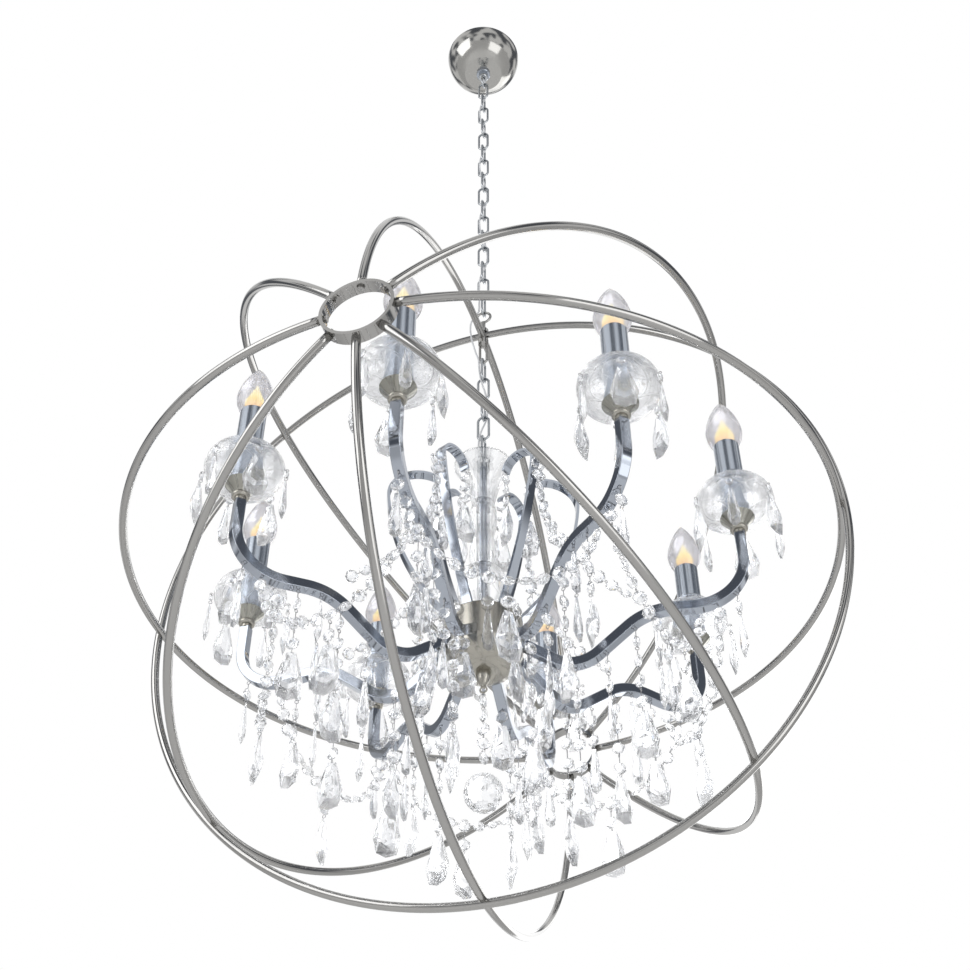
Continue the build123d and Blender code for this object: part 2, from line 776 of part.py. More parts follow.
with BuildPart() as neck:
    with BuildSketch(Plane.XZ):
        with BuildLine():
            under = Line((nipple_clear, neck_bottom), (neck_radius * 0.72, neck_bottom))
            flank = Line(under @ 1, (neck_radius * 0.72, neck_bottom + neck_height * 0.4))
            ring = ThreePointArc(
                flank @ 1,
                (neck_radius + 0.7, neck_bottom + neck_height * 0.68),
                (neck_radius * 0.9, neck_top),
            )
            over = Line(ring @ 1, (nipple_clear, neck_top))
            Line(over @ 1, under @ 0)
        make_face()
    revolve(axis=candle_axis)

with BuildPart() as dish:
    with BuildSketch(Plane.XZ):
        with BuildLine():
            under = Line((nipple_clear, dish_bottom), (neck_radius * 0.9, dish_bottom))
            cone = Line(under @ 1, (dish_radius, dish_top))
            rim = Line(cone @ 1, (dish_radius - dish_wall, dish_top))
            inside = Line(rim @ 1, (neck_radius * 0.9 - dish_wall, dish_bottom + dish_wall))
            over = Line(inside @ 1, (nipple_clear, dish_bottom + dish_wall))
            Line(over @ 1, under @ 0)
        make_face()
    revolve(axis=candle_axis)

seat_radius = dish_radius - dish_wall - running_gap
lip_foot = cup_foot + cup_shoulder_height
cup_top = lip_foot + cup_lip_height
lip_radius = cup_rim_radius - cup_wall / 2
lip_waist = cup_rim_radius - cup_wall
with BuildPart() as cup:
    with BuildSketch(Plane.XZ):
        foot_radius = neck_radius * 0.9 - dish_wall - running_gap
        with BuildLine():
            under = Line((nipple_clear, cup_foot), (foot_radius, cup_foot))
            flank = Line(under @ 1, (seat_radius, dish_top + running_gap * 2))
            belly = ThreePointArc(flank @ 1, (cup_radius, cup_belly), (cup_rim_radius, lip_foot))
            lip = ThreePointArc(belly @ 1, (lip_waist, (lip_foot + cup_top) / 2), (lip_radius, cup_top))
            edge = Line(lip @ 1, (lip_radius - cup_wall, cup_top))
            throat = ThreePointArc(
                edge @ 1,
                (lip_waist - cup_wall, (lip_foot + cup_top) / 2),
                (cup_rim_radius - cup_wall, lip_foot - cup_wall / 2),
            )
            inside = ThreePointArc(
                throat @ 1,
                (cup_radius - cup_wall, cup_belly),
                (seat_radius, dish_top + cup_wall + running_gap * 2),
            )
            floor = Line(inside @ 1, (nipple_clear, dish_top + cup_wall))
            Line(floor @ 1, under @ 0)
        make_face()
    revolve(axis=candle_axis)

sleeve_foot = dish_top + cup_wall + running_gap * 2.5
holder_foot = sleeve_foot + running_gap
holder_top = sleeve_top - holder_drop
bulb_foot = holder_top - bulb_base_length
with BuildPart() as sleeve:
    with BuildSketch(Plane.XY.offset(sleeve_foot)):
        Circle(sleeve_radius)
        Circle(sleeve_radius - sleeve_wall, mode=Mode.SUBTRACT)
    extrude(amount=sleeve_top - sleeve_foot)

# The holder stands on a threaded tail that clamps cup, dish and neck to the arm.
with BuildPart() as holder:
    with BuildSketch(Plane.XY.offset(holder_foot)):
        Circle(holder_radius)
    extrude(amount=holder_top - holder_foot)
    with BuildSketch(Plane.XY.offset(bulb_foot - running_gap)):
        Circle(bulb_base_radius + running_gap)
    extrude(amount=holder_top - bulb_foot + running_gap, mode=Mode.SUBTRACT)
    with BuildSketch(Plane.XY.offset(arm_top - 2 * arm_wall)):
        Circle(socket_nipple_radius)
    extrude(amount=holder_foot - arm_top + 2 * arm_wall)

bulb_shoulder = sleeve_top + 18
with BuildPart() as bulb:
    with BuildSketch(Plane.XZ):
        with BuildLine():
            contact = Line((0, bulb_foot), (bulb_base_radius * 0.5, bulb_foot))
            taper = Line(contact @ 1, (bulb_base_radius, bulb_foot + 3))
            thread = Line(taper @ 1, (bulb_base_radius, holder_top + running_gap))
            step = Line(thread @ 1, (bulb_neck_radius, sleeve_top - 3))
            swell = ThreePointArc(
                step @ 1,
                (bulb_radius * 0.9, bulb_shoulder - 8),
                (bulb_radius, bulb_shoulder + 3),
            )
            crown = ThreePointArc(
                swell @ 1,
                (bulb_radius * 0.72, bulb_shoulder + 23),
                (1.6, bulb_tip - 0.6),
            )
            nose = Line(crown @ 1, (0, bulb_tip))
            Line(nose @ 1, contact @ 0)
        make_face()
    revolve(axis=candle_axis)

for piece, name in ((neck, "candle_necks"), (dish, "candle_dishes"), (cup, "glass_cups"),
                    (sleeve, "candle_sleeves"), (holder, "lampholders")):
    with BuildPart() as ring_of_pieces:
        with Locations(*candle_places()):
            add(piece.part)
    save(ring_of_pieces.part, name)

for number, place in enumerate(candle_places(), start=1):
    with BuildPart() as placed_bulb:
        with Locations(place):
            add(bulb.part)
    save(placed_bulb.part, f"bulb_{number}")

# ---------------------------------------------------------------- crown scrolls
scroll_foot = body_top + body_cover_thickness + fit_gap
tall_points = [(tall_foot_radius, scroll_foot - scroll_thickness), (52, 34), (67, 112)]
tall_tip = (30, 118)
wide_points = [(wide_foot_radius, scroll_foot - scroll_thickness), (82, 20), (98, 92)]
wide_tip = (46, 120)
tall_angles = [arm_angles[0] - 180 / arm_count + 90 * number for number in range(4)]
wide_angles = [tall_angles[0] - 45, tall_angles[2] - 45]


def scroll(angle, points, tip):
    """Flat bar: a long bowed leg, then a crook whose tip comes back towards the column."""
    plane = radial_plane(angle)
    with BuildPart() as crook:
        with BuildLine(plane) as route:
            leg = ThreePointArc(*points)
            TangentArc(leg @ 1, tip, tangent=leg % 1)
        with BuildSketch(Plane(origin=route.edges()[0] @ 0, x_dir=plane.z_dir, z_dir=route.edges()[0] % 0)):
            Rectangle(scroll_width, scroll_thickness)
        sweep(path=route.wires()[0])
    return crook.part


with BuildPart() as crown_scrolls:
    add([scroll(angle, tall_points, tall_tip) for angle in tall_angles])
    add([scroll(angle, wide_points, wide_tip) for angle in wide_angles])
    with BuildSketch(Plane.XY.offset(orb_z + scroll_foot)):
        Circle(body_radius + scroll_width)
    extrude(amount=-3 * scroll_thickness, mode=Mode.SUBTRACT)
save(crown_scrolls.part, "crown_scrolls")

# ---------------------------------------------------------------- crystals
# Every crystal hangs by the wire pin on its top; its origin is the pin's upper end.
def crystal(outline, thickness, taper, pin):
    """Flat crystal cut from an upright outline, bevelled front and back."""
    with BuildPart() as stone:
        with BuildSketch(Plane.XZ):
            Polygon(*outline, align=None)
        extrude(amount=thickness / 2, both=True, taper=taper)
        with BuildSketch(Plane.XY.offset(-pin - link_pin)):
            Rectangle(link_pin, link_pin)
        extrude(amount=pin + link_pin)
    return stone.part


def octagon(size, pitch):
    pin = pitch - size - running_gap
    corner = size / 2 * tan(radians(22.5))
    middle = -pin - size / 2
    half = size / 2
    outline = [
        (-corner, middle + half), (corner, middle + half), (half, middle + corner), (half, middle - corner),
        (corner, middle - half), (-corner, middle - half), (-half, middle - corner), (-half, middle + corner),
    ]
    return crystal(outline, size * octagon_share, octagon_taper, pin)


def drop(length, width, thickness, shoulder, pin):
    """Pear outline, widest at the shoulder's share of its length."""
    hip = (1 + shoulder) / 2
    side = [(width * 0.14, 0), (width * 0.5, -length * shoulder), (width * 0.36, -length * hip), (0, -length)]
    outline = [(x, y - pin) for x, y in side]
    outline += [(-x, y - pin) for x, y in reversed(side[:-1])]
    return crystal(outline, thickness, drop_taper, pin)


big_octagon = octagon(octagon_size, octagon_pitch)
strand_octagon = octagon(octagon_size, strand_pitch)
small_octagon = octagon(small_octagon_size, small_octagon_pitch)
spear = drop(spear_length, spear_width, spear_thickness, 0.72, drop_cap)
pendant = drop(pendant_length, pendant_width, pendant_thickness, 0.62, drop_cap)


def hung(stone, height, radius, angle, turn=0.0):
    """A crystal hanging straight down from a point beside the column."""
    return stone.moved(Location(at_height(height, radius, angle), (0, 0, angle + 90 + turn)))


def strand(height, radius, angle, stones):
    """Stones one under the other, each given with its pitch."""
    hanging = []
    for number, (stone, pitch) in enumerate(stones):
        hanging.append(hung(stone, height, radius, angle, strand_turn * number))
        height -= pitch
    return hanging


def garland(path, stone, pitch):
    """Beads along a path, pin after pin."""
    stones = []
    count = int(path.length / pitch)
    for number in range(count):
        share = number * pitch / path.length
        along = path % share
        across = Vector(-along.Y, along.X, 0) if abs(along.Z) < 0.98 else Vector(1, 0, 0)
        place = Plane(origin=path @ share, x_dir=across, z_dir=along * -1)
        stones.append(stone.moved(place.location * Location((0, 0, 0), (0, 0, garland_turn * number))))
    return stones


def arm_underside(radius):
    """Height of the arm's lower face at a distance from the column."""
    low = 0.0
    high = 1.0
    for halving in range(30):
        share = (low + high) / 2
        if (arm_path @ share).X > radius:
            low = share
        else:
            high = share
    slope = arm_path % share
    return (arm_path @ share).Y - arm_width / 2 / abs(slope.X)


# Distance from the column of each strand under an arm, and its stones from the top down.
bead = (big_octagon, octagon_pitch)
long_bead = (strand_octagon, strand_pitch)
spear_drop = (spear, spear_length + drop_cap + running_gap)
pendant_drop = (pendant, pendant_length + drop_cap + running_gap)
arm_strand_plan = [
    (242, [long_bead, spear_drop]),
    (188, [long_bead] * 3 + [pendant_drop]),
    (166, [spear_drop, spear_drop]),
    (146, [long_bead] * 4 + [pendant_drop]),
    (118, [long_bead] * 2 + [spear_drop]),
    (88, [long_bead] * 5 + [pendant_drop]),
    (62, [bead, pendant_drop]),
]
swag_height = arm_underside(swag_start_radius) - running_gap
swag_end_height = arm_underside(swag_end_radius) - running_gap
swag_low_height = swag_height - swag_drop
swag_low_radius = (swag_start_radius + swag_end_radius) / 2 * cos(pi / arm_count)
arm_stones = []
for angle in arm_angles:
    for radius, stones in arm_strand_plan:
        arm_stones += strand(arm_underside(radius) - running_gap, radius, angle, stones)
    next_angle = angle + 360 / arm_count
    middle_angle = (angle + next_angle) / 2
    swag = ThreePointArc(
        at_height(swag_height, swag_start_radius, angle),
        at_height(swag_low_height, swag_low_radius, middle_angle),
        at_height(swag_end_height, swag_end_radius, next_angle),
    )
    arm_stones += garland(swag, big_octagon, octagon_pitch)
    under_swag = swag_low_height - octagon_size / 2 - running_gap
    arm_stones += strand(under_swag, swag_low_radius, middle_angle, [long_bead, pendant_drop])
save(Compound(arm_stones), "arm_crystals")

cup_hook_radius = cup_radius + small_octagon_size * octagon_share / 2 + running_gap
cup_stones = []
for place in candle_places():
    for number in range(cup_drop_count):
        around = Location((0, 0, 0), (0, 0, 360 / cup_drop_count * (number + 0.5)))
        hook = place * around * Location((cup_hook_radius, 0, cup_belly + cup_wall))
        turned = Location((0, 0, 0), (0, 0, 90))
        cup_stones.append(small_octagon.moved(hook * turned))
        last = pendant if number % 2 else spear
        cup_stones.append(last.moved(hook * Location((0, 0, -small_octagon_pitch)) * turned))
save(Compound(cup_stones), "cup_crystals")

crown_stones = []
for angles, points, tip in ((tall_angles, tall_points, tall_tip), (wide_angles, wide_points, wide_tip)):
    leg = ThreePointArc(*points)
    onward = TangentArc(leg @ 1, tip, tangent=leg % 1) % 1
    reach = link_pin / 2 + running_gap
    for angle in angles:
        crown_stones += strand(tip[1] + onward.Y * reach, tip[0] + onward.X * reach, angle,
                               [bead] * 3 + [pendant_drop])
for angle in tall_angles:
    for side in (-1, 1):
        beside = tall_points[2][0] + scroll_thickness / 2 + octagon_size / 2 - link_pin / 2
        top = at_height(tall_points[2][1], beside, angle + side * garland_top_turn)
        foot_angle = angle + side * 180 / arm_count
        foot = at_height(arm_crest_height + arm_width, arm_crest_radius, foot_angle)
        sagging = at_height(garland_low_height, garland_low_radius, angle + side * garland_low_turn)
        crown_stones += garland(ThreePointArc(top, sagging, foot), big_octagon, octagon_pitch)

# Round the body, between the arms, a bead and a spear hang from the cover's edge.
body_hook_radius = body_radius + octagon_size * octagon_share / 2 + running_gap
body_hook_height = body_top + octagon_size / 2
for angle in arm_angles:
    between = angle + 180 / arm_count
    crown_stones.append(hung(big_octagon, body_hook_height, body_hook_radius, between))
    crown_stones.append(hung(spear, body_hook_height - octagon_pitch, body_hook_radius, between))
save(Compound(crown_stones), "crown_crystals")

hook_foot = finial_ring_height - finial_ring_radius - finial_hook_wire / 2
with BuildPart() as crystal_ball:
    for latitude in ball_latitudes:
        with BuildSketch(Plane.XY.offset(orb_z + ball_height + ball_radius * sin(radians(latitude)))):
            RegularPolygon(ball_radius * cos(radians(latitude)), 12)
    loft(ruled=True)
bead_count = int((hook_foot - ball_height - ball_radius) / octagon_pitch)
ball_top_pin = hook_foot - running_gap - bead_count * octagon_pitch - running_gap
ball_stones = [hung(big_octagon, hook_foot - running_gap - number * octagon_pitch, 0, 0, 40 * number)
               for number in range(bead_count)]
with BuildPart() as ball_with_pin:
    add(crystal_ball.part)
    with BuildSketch(Plane.XY.offset(orb_z + ball_height)):
        Rectangle(link_pin, link_pin)
    extrude(amount=ball_top_pin - ball_height)
save(Compound([ball_with_pin.part] + ball_stones), "ball_drop")
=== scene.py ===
# %% [markdown]
# # Orb chandelier
# The solids of the light are already made, at real size, in metres. This lesson gives them their
# finishes and adds what plain solids can't show: cut glass cups, clear candle bulbs with a warm
# glow, faceted stones, and a studio round them. New pieces repeat the places and sizes of the solids.

from math import asin, atan2, cos, pi, radians, sin, sqrt, tau

import bmesh
import bpy
from mathutils import Matrix, Vector
from mathutils.bvhtree import BVHTree


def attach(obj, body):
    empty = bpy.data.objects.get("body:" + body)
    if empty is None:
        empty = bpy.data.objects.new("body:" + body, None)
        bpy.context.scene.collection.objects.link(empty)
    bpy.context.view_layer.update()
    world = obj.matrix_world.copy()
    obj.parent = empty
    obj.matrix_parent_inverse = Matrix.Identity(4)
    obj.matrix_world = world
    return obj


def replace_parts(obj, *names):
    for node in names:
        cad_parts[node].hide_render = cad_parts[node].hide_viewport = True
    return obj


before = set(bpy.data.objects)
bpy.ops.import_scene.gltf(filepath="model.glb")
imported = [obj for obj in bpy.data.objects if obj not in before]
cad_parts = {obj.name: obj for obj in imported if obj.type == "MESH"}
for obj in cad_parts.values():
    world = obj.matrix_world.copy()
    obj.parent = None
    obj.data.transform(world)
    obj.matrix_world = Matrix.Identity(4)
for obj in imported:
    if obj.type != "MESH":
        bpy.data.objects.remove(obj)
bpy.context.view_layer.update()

# %% [markdown]
# ## Places
# The ceiling is at height zero and the orb's centre hangs 954 mm below it. Eight arms stand evenly
# round the column. One list of candle places serves the cups and the bulbs.

# %% Sizes and places
orb_centre = Vector((0, 0, -0.954))
arm_count = 8
candle_radius = 0.253
arm_angles = [radians(-90 + 360 / arm_count * number) for number in range(arm_count)]
candle_places = [
    Matrix.Translation(orb_centre + Vector((candle_radius * cos(a), candle_radius * sin(a), 0)))
    @ Matrix.Rotation(a, 4, "Z")
    for a in arm_angles
]
print("candles at", [tuple(round(v, 3) for v in place.translation) for place in candle_places][:2], "...")

# %% [markdown]
# ## Shared surface effects
# Plated metal is never quite even: the polish has soft waves, and fingers and dust leave faint clouds
# that blur the reflection. Both come from noise in a node group, so every plated piece can use them at
# its own strength. Glass has a second group, for the slow ripple of blown and pressed glass.

# %% Node groups for plate and glass
def new_group(name, inputs, outputs):
    group = bpy.data.node_groups.new(name, "ShaderNodeTree")
    for label, kind, value in inputs:
        socket = group.interface.new_socket(name=label, in_out="INPUT", socket_type=kind)
        socket.default_value = value
    for label, kind in outputs:
        group.interface.new_socket(name=label, in_out="OUTPUT", socket_type=kind)
    return group, group.nodes.new("NodeGroupInput"), group.nodes.new("NodeGroupOutput")


def plate_group():
    group, given, result = new_group(
        "polished plate",
        [("Scale", "NodeSocketFloat", 30.0), ("Roughness", "NodeSocketFloat", 0.08),
         ("Cloud", "NodeSocketFloat", 0.06), ("Wave", "NodeSocketFloat", 0.02)],
        [("Roughness", "NodeSocketFloat"), ("Normal", "NodeSocketVector"), ("Mask", "NodeSocketFloat")],
    )
    nodes, links = group.nodes, group.links
    place = nodes.new("ShaderNodeTexCoord")
    cloud = nodes.new("ShaderNodeTexNoise")
    cloud.inputs["Detail"].default_value = 4
    links.new(place.outputs["Object"], cloud.inputs["Vector"])
    links.new(given.outputs["Scale"], cloud.inputs["Scale"])
    rough = nodes.new("ShaderNodeMath")
    rough.operation = "MULTIPLY_ADD"
    links.new(cloud.outputs["Fac"], rough.inputs[0])
    links.new(given.outputs["Cloud"], rough.inputs[1])
    links.new(given.outputs["Roughness"], rough.inputs[2])
    links.new(rough.outputs[0], result.inputs["Roughness"])
    links.new(cloud.outputs["Fac"], result.inputs["Mask"])
    wave = nodes.new("ShaderNodeBump")
    wave.inputs["Distance"].default_value = 0.001
    links.new(given.outputs["Wave"], wave.inputs["Strength"])
    links.new(cloud.outputs["Fac"], wave.inputs["Height"])
    links.new(wave.outputs["Normal"], result.inputs["Normal"])
    return group


def ripple_group():
    group, given, result = new_group(
        "glass ripple",
        [("Scale", "NodeSocketFloat", 40.0), ("Strength", "NodeSocketFloat", 0.1)],
        [("Normal", "NodeSocketVector"), ("Mask", "NodeSocketFloat")],
    )
    nodes, links = group.nodes, group.links
    place = nodes.new("ShaderNodeTexCoord")
    noise = nodes.new("ShaderNodeTexNoise")
    noise.inputs["Detail"].default_value = 2
    links.new(place.outputs["Object"], noise.inputs["Vector"])
    links.new(given.outputs["Scale"], noise.inputs["Scale"])
    bump = nodes.new("ShaderNodeBump")
    bump.inputs["Distance"].default_value = 0.001
    links.new(given.outputs["Strength"], bump.inputs["Strength"])
    links.new(noise.outputs["Fac"], bump.inputs["Height"])
    links.new(bump.outputs["Normal"], result.inputs["Normal"])
    links.new(noise.outputs["Fac"], result.inputs["Mask"])
    return group


polished_plate = plate_group()
glass_ripple = ripple_group()
print("groups", polished_plate.name, "and", glass_ripple.name)

# %% [markdown]
# ## Finishes
# The metal is bright nickel-like plate: a grey base, fully metallic, with a low roughness. The
# pressed and cut glass is the Principled shader with full transmission, and its flat parts let some of
# the light straight through.

# %% Materials for metal, glass and plastic
def placed_group(material, group, values):
    node = material.node_tree.nodes.new("ShaderNodeGroup")
    node.node_tree = group
    for label, value in values.items():
        node.inputs[label].default_value = value
    return node


def new_material(name):
    material = bpy.data.materials.new(name)
    material.use_nodes = True
    return material, material.node_tree.nodes["Principled BSDF"]


def plated(name, colour, roughness, cloud=0.05, wave=0.02, scale=30.0):
    material, shader = new_material(name)
    plate = placed_group(material, polished_plate,
                         {"Scale": scale, "Roughness": roughness, "Cloud": cloud, "Wave": wave})
    shader.inputs["Base Color"].default_value = (*colour, 1)
    shader.inputs["Metallic"].default_value = 1
    links = material.node_tree.links
    links.new(plate.outputs["Roughness"], shader.inputs["Roughness"])
    links.new(plate.outputs["Normal"], shader.inputs["Normal"])
    return material


def clear(name, colour, index, roughness=0.0, strength=0.1, scale=40.0, body=1.0):
    """Glass; a body below 1 lets part of the light straight through, as the flat parts of cut glass do."""
    material, shader = new_material(name)
    shader.inputs["Alpha"].default_value = body
    ripple = placed_group(material, glass_ripple, {"Scale": scale, "Strength": strength})
    shader.inputs["Base Color"].default_value = (*colour, 1)
    shader.inputs["Transmission Weight"].default_value = 1
    shader.inputs["IOR"].default_value = index
    shader.inputs["Roughness"].default_value = roughness
    material.node_tree.links.new(ripple.outputs["Normal"], shader.inputs["Normal"])
    return material


def moulded(name, colour, roughness, scale=400.0):
    material, shader = new_material(name)
    grain = placed_group(material, polished_plate,
                         {"Scale": scale, "Roughness": roughness, "Cloud": 0.1, "Wave": 0.15})
    shader.inputs["Base Color"].default_value = (*colour, 1)
    links = material.node_tree.links
    links.new(grain.outputs["Roughness"], shader.inputs["Roughness"])
    links.new(grain.outputs["Normal"], shader.inputs["Normal"])
    return material


arm_plate = plated("arm plate", (0.38, 0.41, 0.46), 0.06, wave=0.01)
orb_plate = plated("orb plate", (0.37, 0.365, 0.355), 0.09, cloud=0.04, wave=0.0)
sleeve_plate = plated("sleeve plate", (0.44, 0.48, 0.54), 0.20, cloud=0.05, wave=0.01)
body_plate = plated("body plate", (0.39, 0.375, 0.335), 0.16, cloud=0.1)
dish_plate = plated("dish plate", (0.34, 0.335, 0.30), 0.12, cloud=0.08)
canopy_plate = plated("canopy plate", (0.40, 0.395, 0.38), 0.12, wave=0.01)
chain_plate = plated("chain plate", (0.46, 0.48, 0.50), 0.12)
zinc = plated("zinc strip", (0.55, 0.55, 0.54), 0.3, cloud=0.15, scale=90.0)
clear_glass = clear("clear glass", (0.96, 0.97, 0.985), 1.5, body=0.6)
crystal = clear("cut crystal", (0.95, 0.96, 0.98), 1.5, strength=0.02, body=0.78)
holder_plastic = moulded("holder plastic", (0.80, 0.78, 0.72), 0.4)
lead_sheath = moulded("lead sheath", (0.55, 0.56, 0.58), 0.25)
print("materials", len(bpy.data.materials))

# %% [markdown]
# ## Dressing the solids
# Each solid keeps its shape and only gets a finish, by name. What isn't named here is replaced further on.

# %% Give the solids their finishes
orb_pieces = ["cross_ring", "front_hub", "rear_hub", "hub_screws", "orb_eye", "lower_hook"]
orb_pieces += [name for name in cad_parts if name.endswith("half_hoop")]
finish_of = {name: arm_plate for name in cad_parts}
finish_of.update({name: orb_plate for name in orb_pieces})
finish_of.update({name: body_plate for name in ("body_bowl", "body_cover", "finial", "candle_necks")})
finish_of["candle_dishes"] = dish_plate
finish_of["candle_sleeves"] = sleeve_plate
finish_of.update({name: chain_plate for name in ("upper_chain", "lower_chain", "stem_loop", "canopy_loop")})
finish_of.update({name: clear_glass for name in ("glass_vase", "glass_column", "glass_urn", "glass_cups")})
finish_of.update({name: crystal for name in ("arm_crystals", "crown_crystals", "cup_crystals", "ball_drop")})
finish_of.update({name: holder_plastic for name in ("lampholders", "terminal_block")})
finish_of.update({name: lead_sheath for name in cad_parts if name.startswith("supply_lead")})
finish_of["ceiling_bracket"] = zinc
finish_of["canopy"] = canopy_plate


def dress(name, material):
    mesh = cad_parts[name].data
    if not mesh.materials:
        mesh.materials.append(material)
    for number in range(len(mesh.materials)):
        mesh.materials[number] = material


for name, material in finish_of.items():
    dress(name, material)
print("dressed", len(finish_of))

# %% [markdown]
# ## The supply lead
# The lead hangs through the chains, passing from side to side every second link. It is three lengths
# that meet at the pivots, each a smooth curve through the points of its route.

# %% Supply lead
def woven(reach, pitch, count, first_side):
    """Beside each meeting of two links, changing sides every second link."""
    points = []
    for number in range(1, count):
        side = 0.0039 * first_side * (1 if number // 2 % 2 == 0 else -1)
        points.append((side, side, reach - number * pitch + 0.0014))
    return points


pivot_side, bypass = -0.0042, -0.01202
upper_route = [(0.0039, 0.0039, -0.0702)] + woven(-0.0669, 0.030856, 16, 1)
upper_route += [(pivot_side, pivot_side, -0.5595)]
middle_route = [
    (pivot_side, pivot_side, -0.5605), (pivot_side * 1.5, pivot_side * 1.5, -0.569),
    (bypass, bypass, -0.586), (bypass, bypass, -0.609),
    (pivot_side * 1.6, pivot_side * 1.6, -0.637), (pivot_side, pivot_side, -0.6455),
]
lower_route = [(pivot_side, pivot_side, -0.6465)] + woven(-0.6433, 0.03074, 5, -1)
lower_route += [(pivot_side, pivot_side * 1.2, -0.797), (pivot_side * 0.75, pivot_side * 1.1, -0.8077)]


def lead(name, points, body):
    data = bpy.data.curves.new(name, "CURVE")
    data.dimensions = "3D"
    spline = data.splines.new("NURBS")
    spline.points.add(len(points) - 1)
    for point, place in zip(spline.points, points):
        point.co = (*place, 1)
    spline.order_u = 3
    spline.use_endpoint_u = True
    spline.resolution_u = 12
    data.bevel_depth = 0.001
    data.bevel_resolution = 4
    data.use_fill_caps = True
    data.materials.append(lead_sheath)
    cord = bpy.data.objects.new(name, data)
    bpy.context.scene.collection.objects.link(cord)
    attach(cord, body)
    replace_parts(cord, f"supply_{name}")


lead("lead_upper", upper_route, "hanging_chain")
lead("lead_middle", middle_route, "orb")
lead("lead_lower", lower_route, "short_chain")
print("three lengths of lead")

# %% [markdown]
# ## Helpers for new pieces
# A turned piece is a profile spun round an axis. Every new mesh ends with its place in the mesh itself.

# %% Mesh helpers
def finished(name, mesh, body, material, smooth=True):
    """An object for a finished bmesh, riding on its body."""
    bmesh.ops.recalc_face_normals(mesh, faces=mesh.faces)
    data = bpy.data.meshes.new(name)
    for face in mesh.faces:
        face.smooth = smooth
    mesh.to_mesh(data)
    mesh.free()
    data.materials.append(material)
    piece = bpy.data.objects.new(name, data)
    bpy.context.scene.collection.objects.link(piece)
    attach(piece, body)
    return piece


def turned(mesh, profile, place, steps=48):
    """Spins a closed or open profile of (radius, height) points round the axis of place."""
    points = [mesh.verts.new((radius, 0, height)) for radius, height in profile]
    edges = [mesh.edges.new(pair) for pair in zip(points, points[1:])]
    spun = bmesh.ops.spin(mesh, geom=points + edges, cent=(0, 0, 0), axis=(0, 0, 1), angle=tau,
                          steps=steps, use_merge=True)
    fresh = [item for item in spun["geom_last"] if isinstance(item, bmesh.types.BMVert)]
    linked = set()
    border = points + fresh
    while border:
        vert = border.pop()
        if vert in linked:
            continue
        linked.add(vert)
        border.extend(edge.other_vert(vert) for edge in vert.link_edges)
    bmesh.ops.remove_doubles(mesh, verts=list(linked), dist=1e-6)
    linked = [vert for vert in linked if vert.is_valid]
    bmesh.ops.transform(mesh, matrix=place, verts=linked)
    return linked


def arc(start, middle, end, count):
    """Points on the circle through three points, as (radius, height) pairs."""
    (ax, ay), (bx, by), (cx, cy) = start, middle, end
    twice = 2 * (ax * (by - cy) + bx * (cy - ay) + cx * (ay - by))
    ux = ((ax**2 + ay**2) * (by - cy) + (bx**2 + by**2) * (cy - ay) + (cx**2 + cy**2) * (ay - by)) / twice
    uy = ((ax**2 + ay**2) * (cx - bx) + (bx**2 + by**2) * (ax - cx) + (cx**2 + cy**2) * (bx - ax)) / twice
    first = atan2(ay - uy, ax - ux)
    turn = (atan2(cy - uy, cx - ux) - first) % tau
    if (atan2(by - uy, bx - ux) - first) % tau > turn:
        turn -= tau
    size = sqrt((ax - ux)**2 + (ay - uy)**2)
    return [(ux + size * cos(first + turn * step / count), uy + size * sin(first + turn * step / count))
            for step in range(count + 1)]


# %% [markdown]
# ## Smooth tubes for the orb
# The half hoops and the ring are long thin tubes, and their reflections show every facet. So they are
# spun again here as finer tubes on the same centrelines, with the same radii and ends.

# %% Orb tubes
hoop_names = ["top", "upper_right", "right", "lower_right", "bottom", "lower_left", "left", "upper_left"]
hoop_radius, tube_radius, ring_radius, hub_radius = 0.349, 0.004, 0.353, 0.0325
hoop_start = asin(hub_radius / hoop_radius)


def spun_tube(mesh, radius, start, sweep, steps, basis):
    """A tube bent round the orb's centre; basis turns its flat plane to where it stands."""
    made = bmesh.ops.create_circle(mesh, segments=28, radius=tube_radius)
    place = (Matrix.Rotation(start, 4, "Z") @ Matrix.Translation((radius, 0, 0))
             @ Matrix.Rotation(pi / 2, 4, "X"))
    bmesh.ops.transform(mesh, matrix=place, verts=made["verts"])
    whole = sweep > 6.28
    bmesh.ops.spin(mesh, geom=mesh.verts[:] + mesh.edges[:], cent=(0, 0, 0), axis=(0, 0, 1), angle=sweep,
                   steps=steps, use_merge=whole)
    if not whole:
        bmesh.ops.holes_fill(mesh, edges=[edge for edge in mesh.edges if edge.is_boundary])
    bmesh.ops.transform(mesh, matrix=Matrix.Translation(orb_centre) @ basis.to_4x4(), verts=mesh.verts)


for number, name in enumerate(hoop_names):
    turn = radians(45 * number + (2.6 if number % 2 else 0))
    basis = Matrix(((sin(turn), 0, cos(turn)), (0, 1, 0), (-cos(turn), 0, sin(turn)))).transposed()
    tube = bmesh.new()
    spun_tube(tube, hoop_radius, hoop_start - pi / 2, pi - 2 * hoop_start, 120, basis)
    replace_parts(finished(f"{name}_tube", tube, "orb", orb_plate), f"{name}_half_hoop")
ring_tube = bmesh.new()
spun_tube(ring_tube, ring_radius, 0, tau, 240, Matrix(((1, 0, 0), (0, 0, 1), (0, -1, 0))).transposed())
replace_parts(finished("ring_tube", ring_tube, "orb", orb_plate), "cross_ring")
print("tubes", len(hoop_names) + 1)

# %% [markdown]
# ## Candle bulbs
# A clear candle bulb is a blown shell on a screw base, with a glass stem that carries the filament. The
# shell has two walls, spun from one closed profile, so that it refracts as real thin glass does. The light
# inside is a small flame-shaped glow.

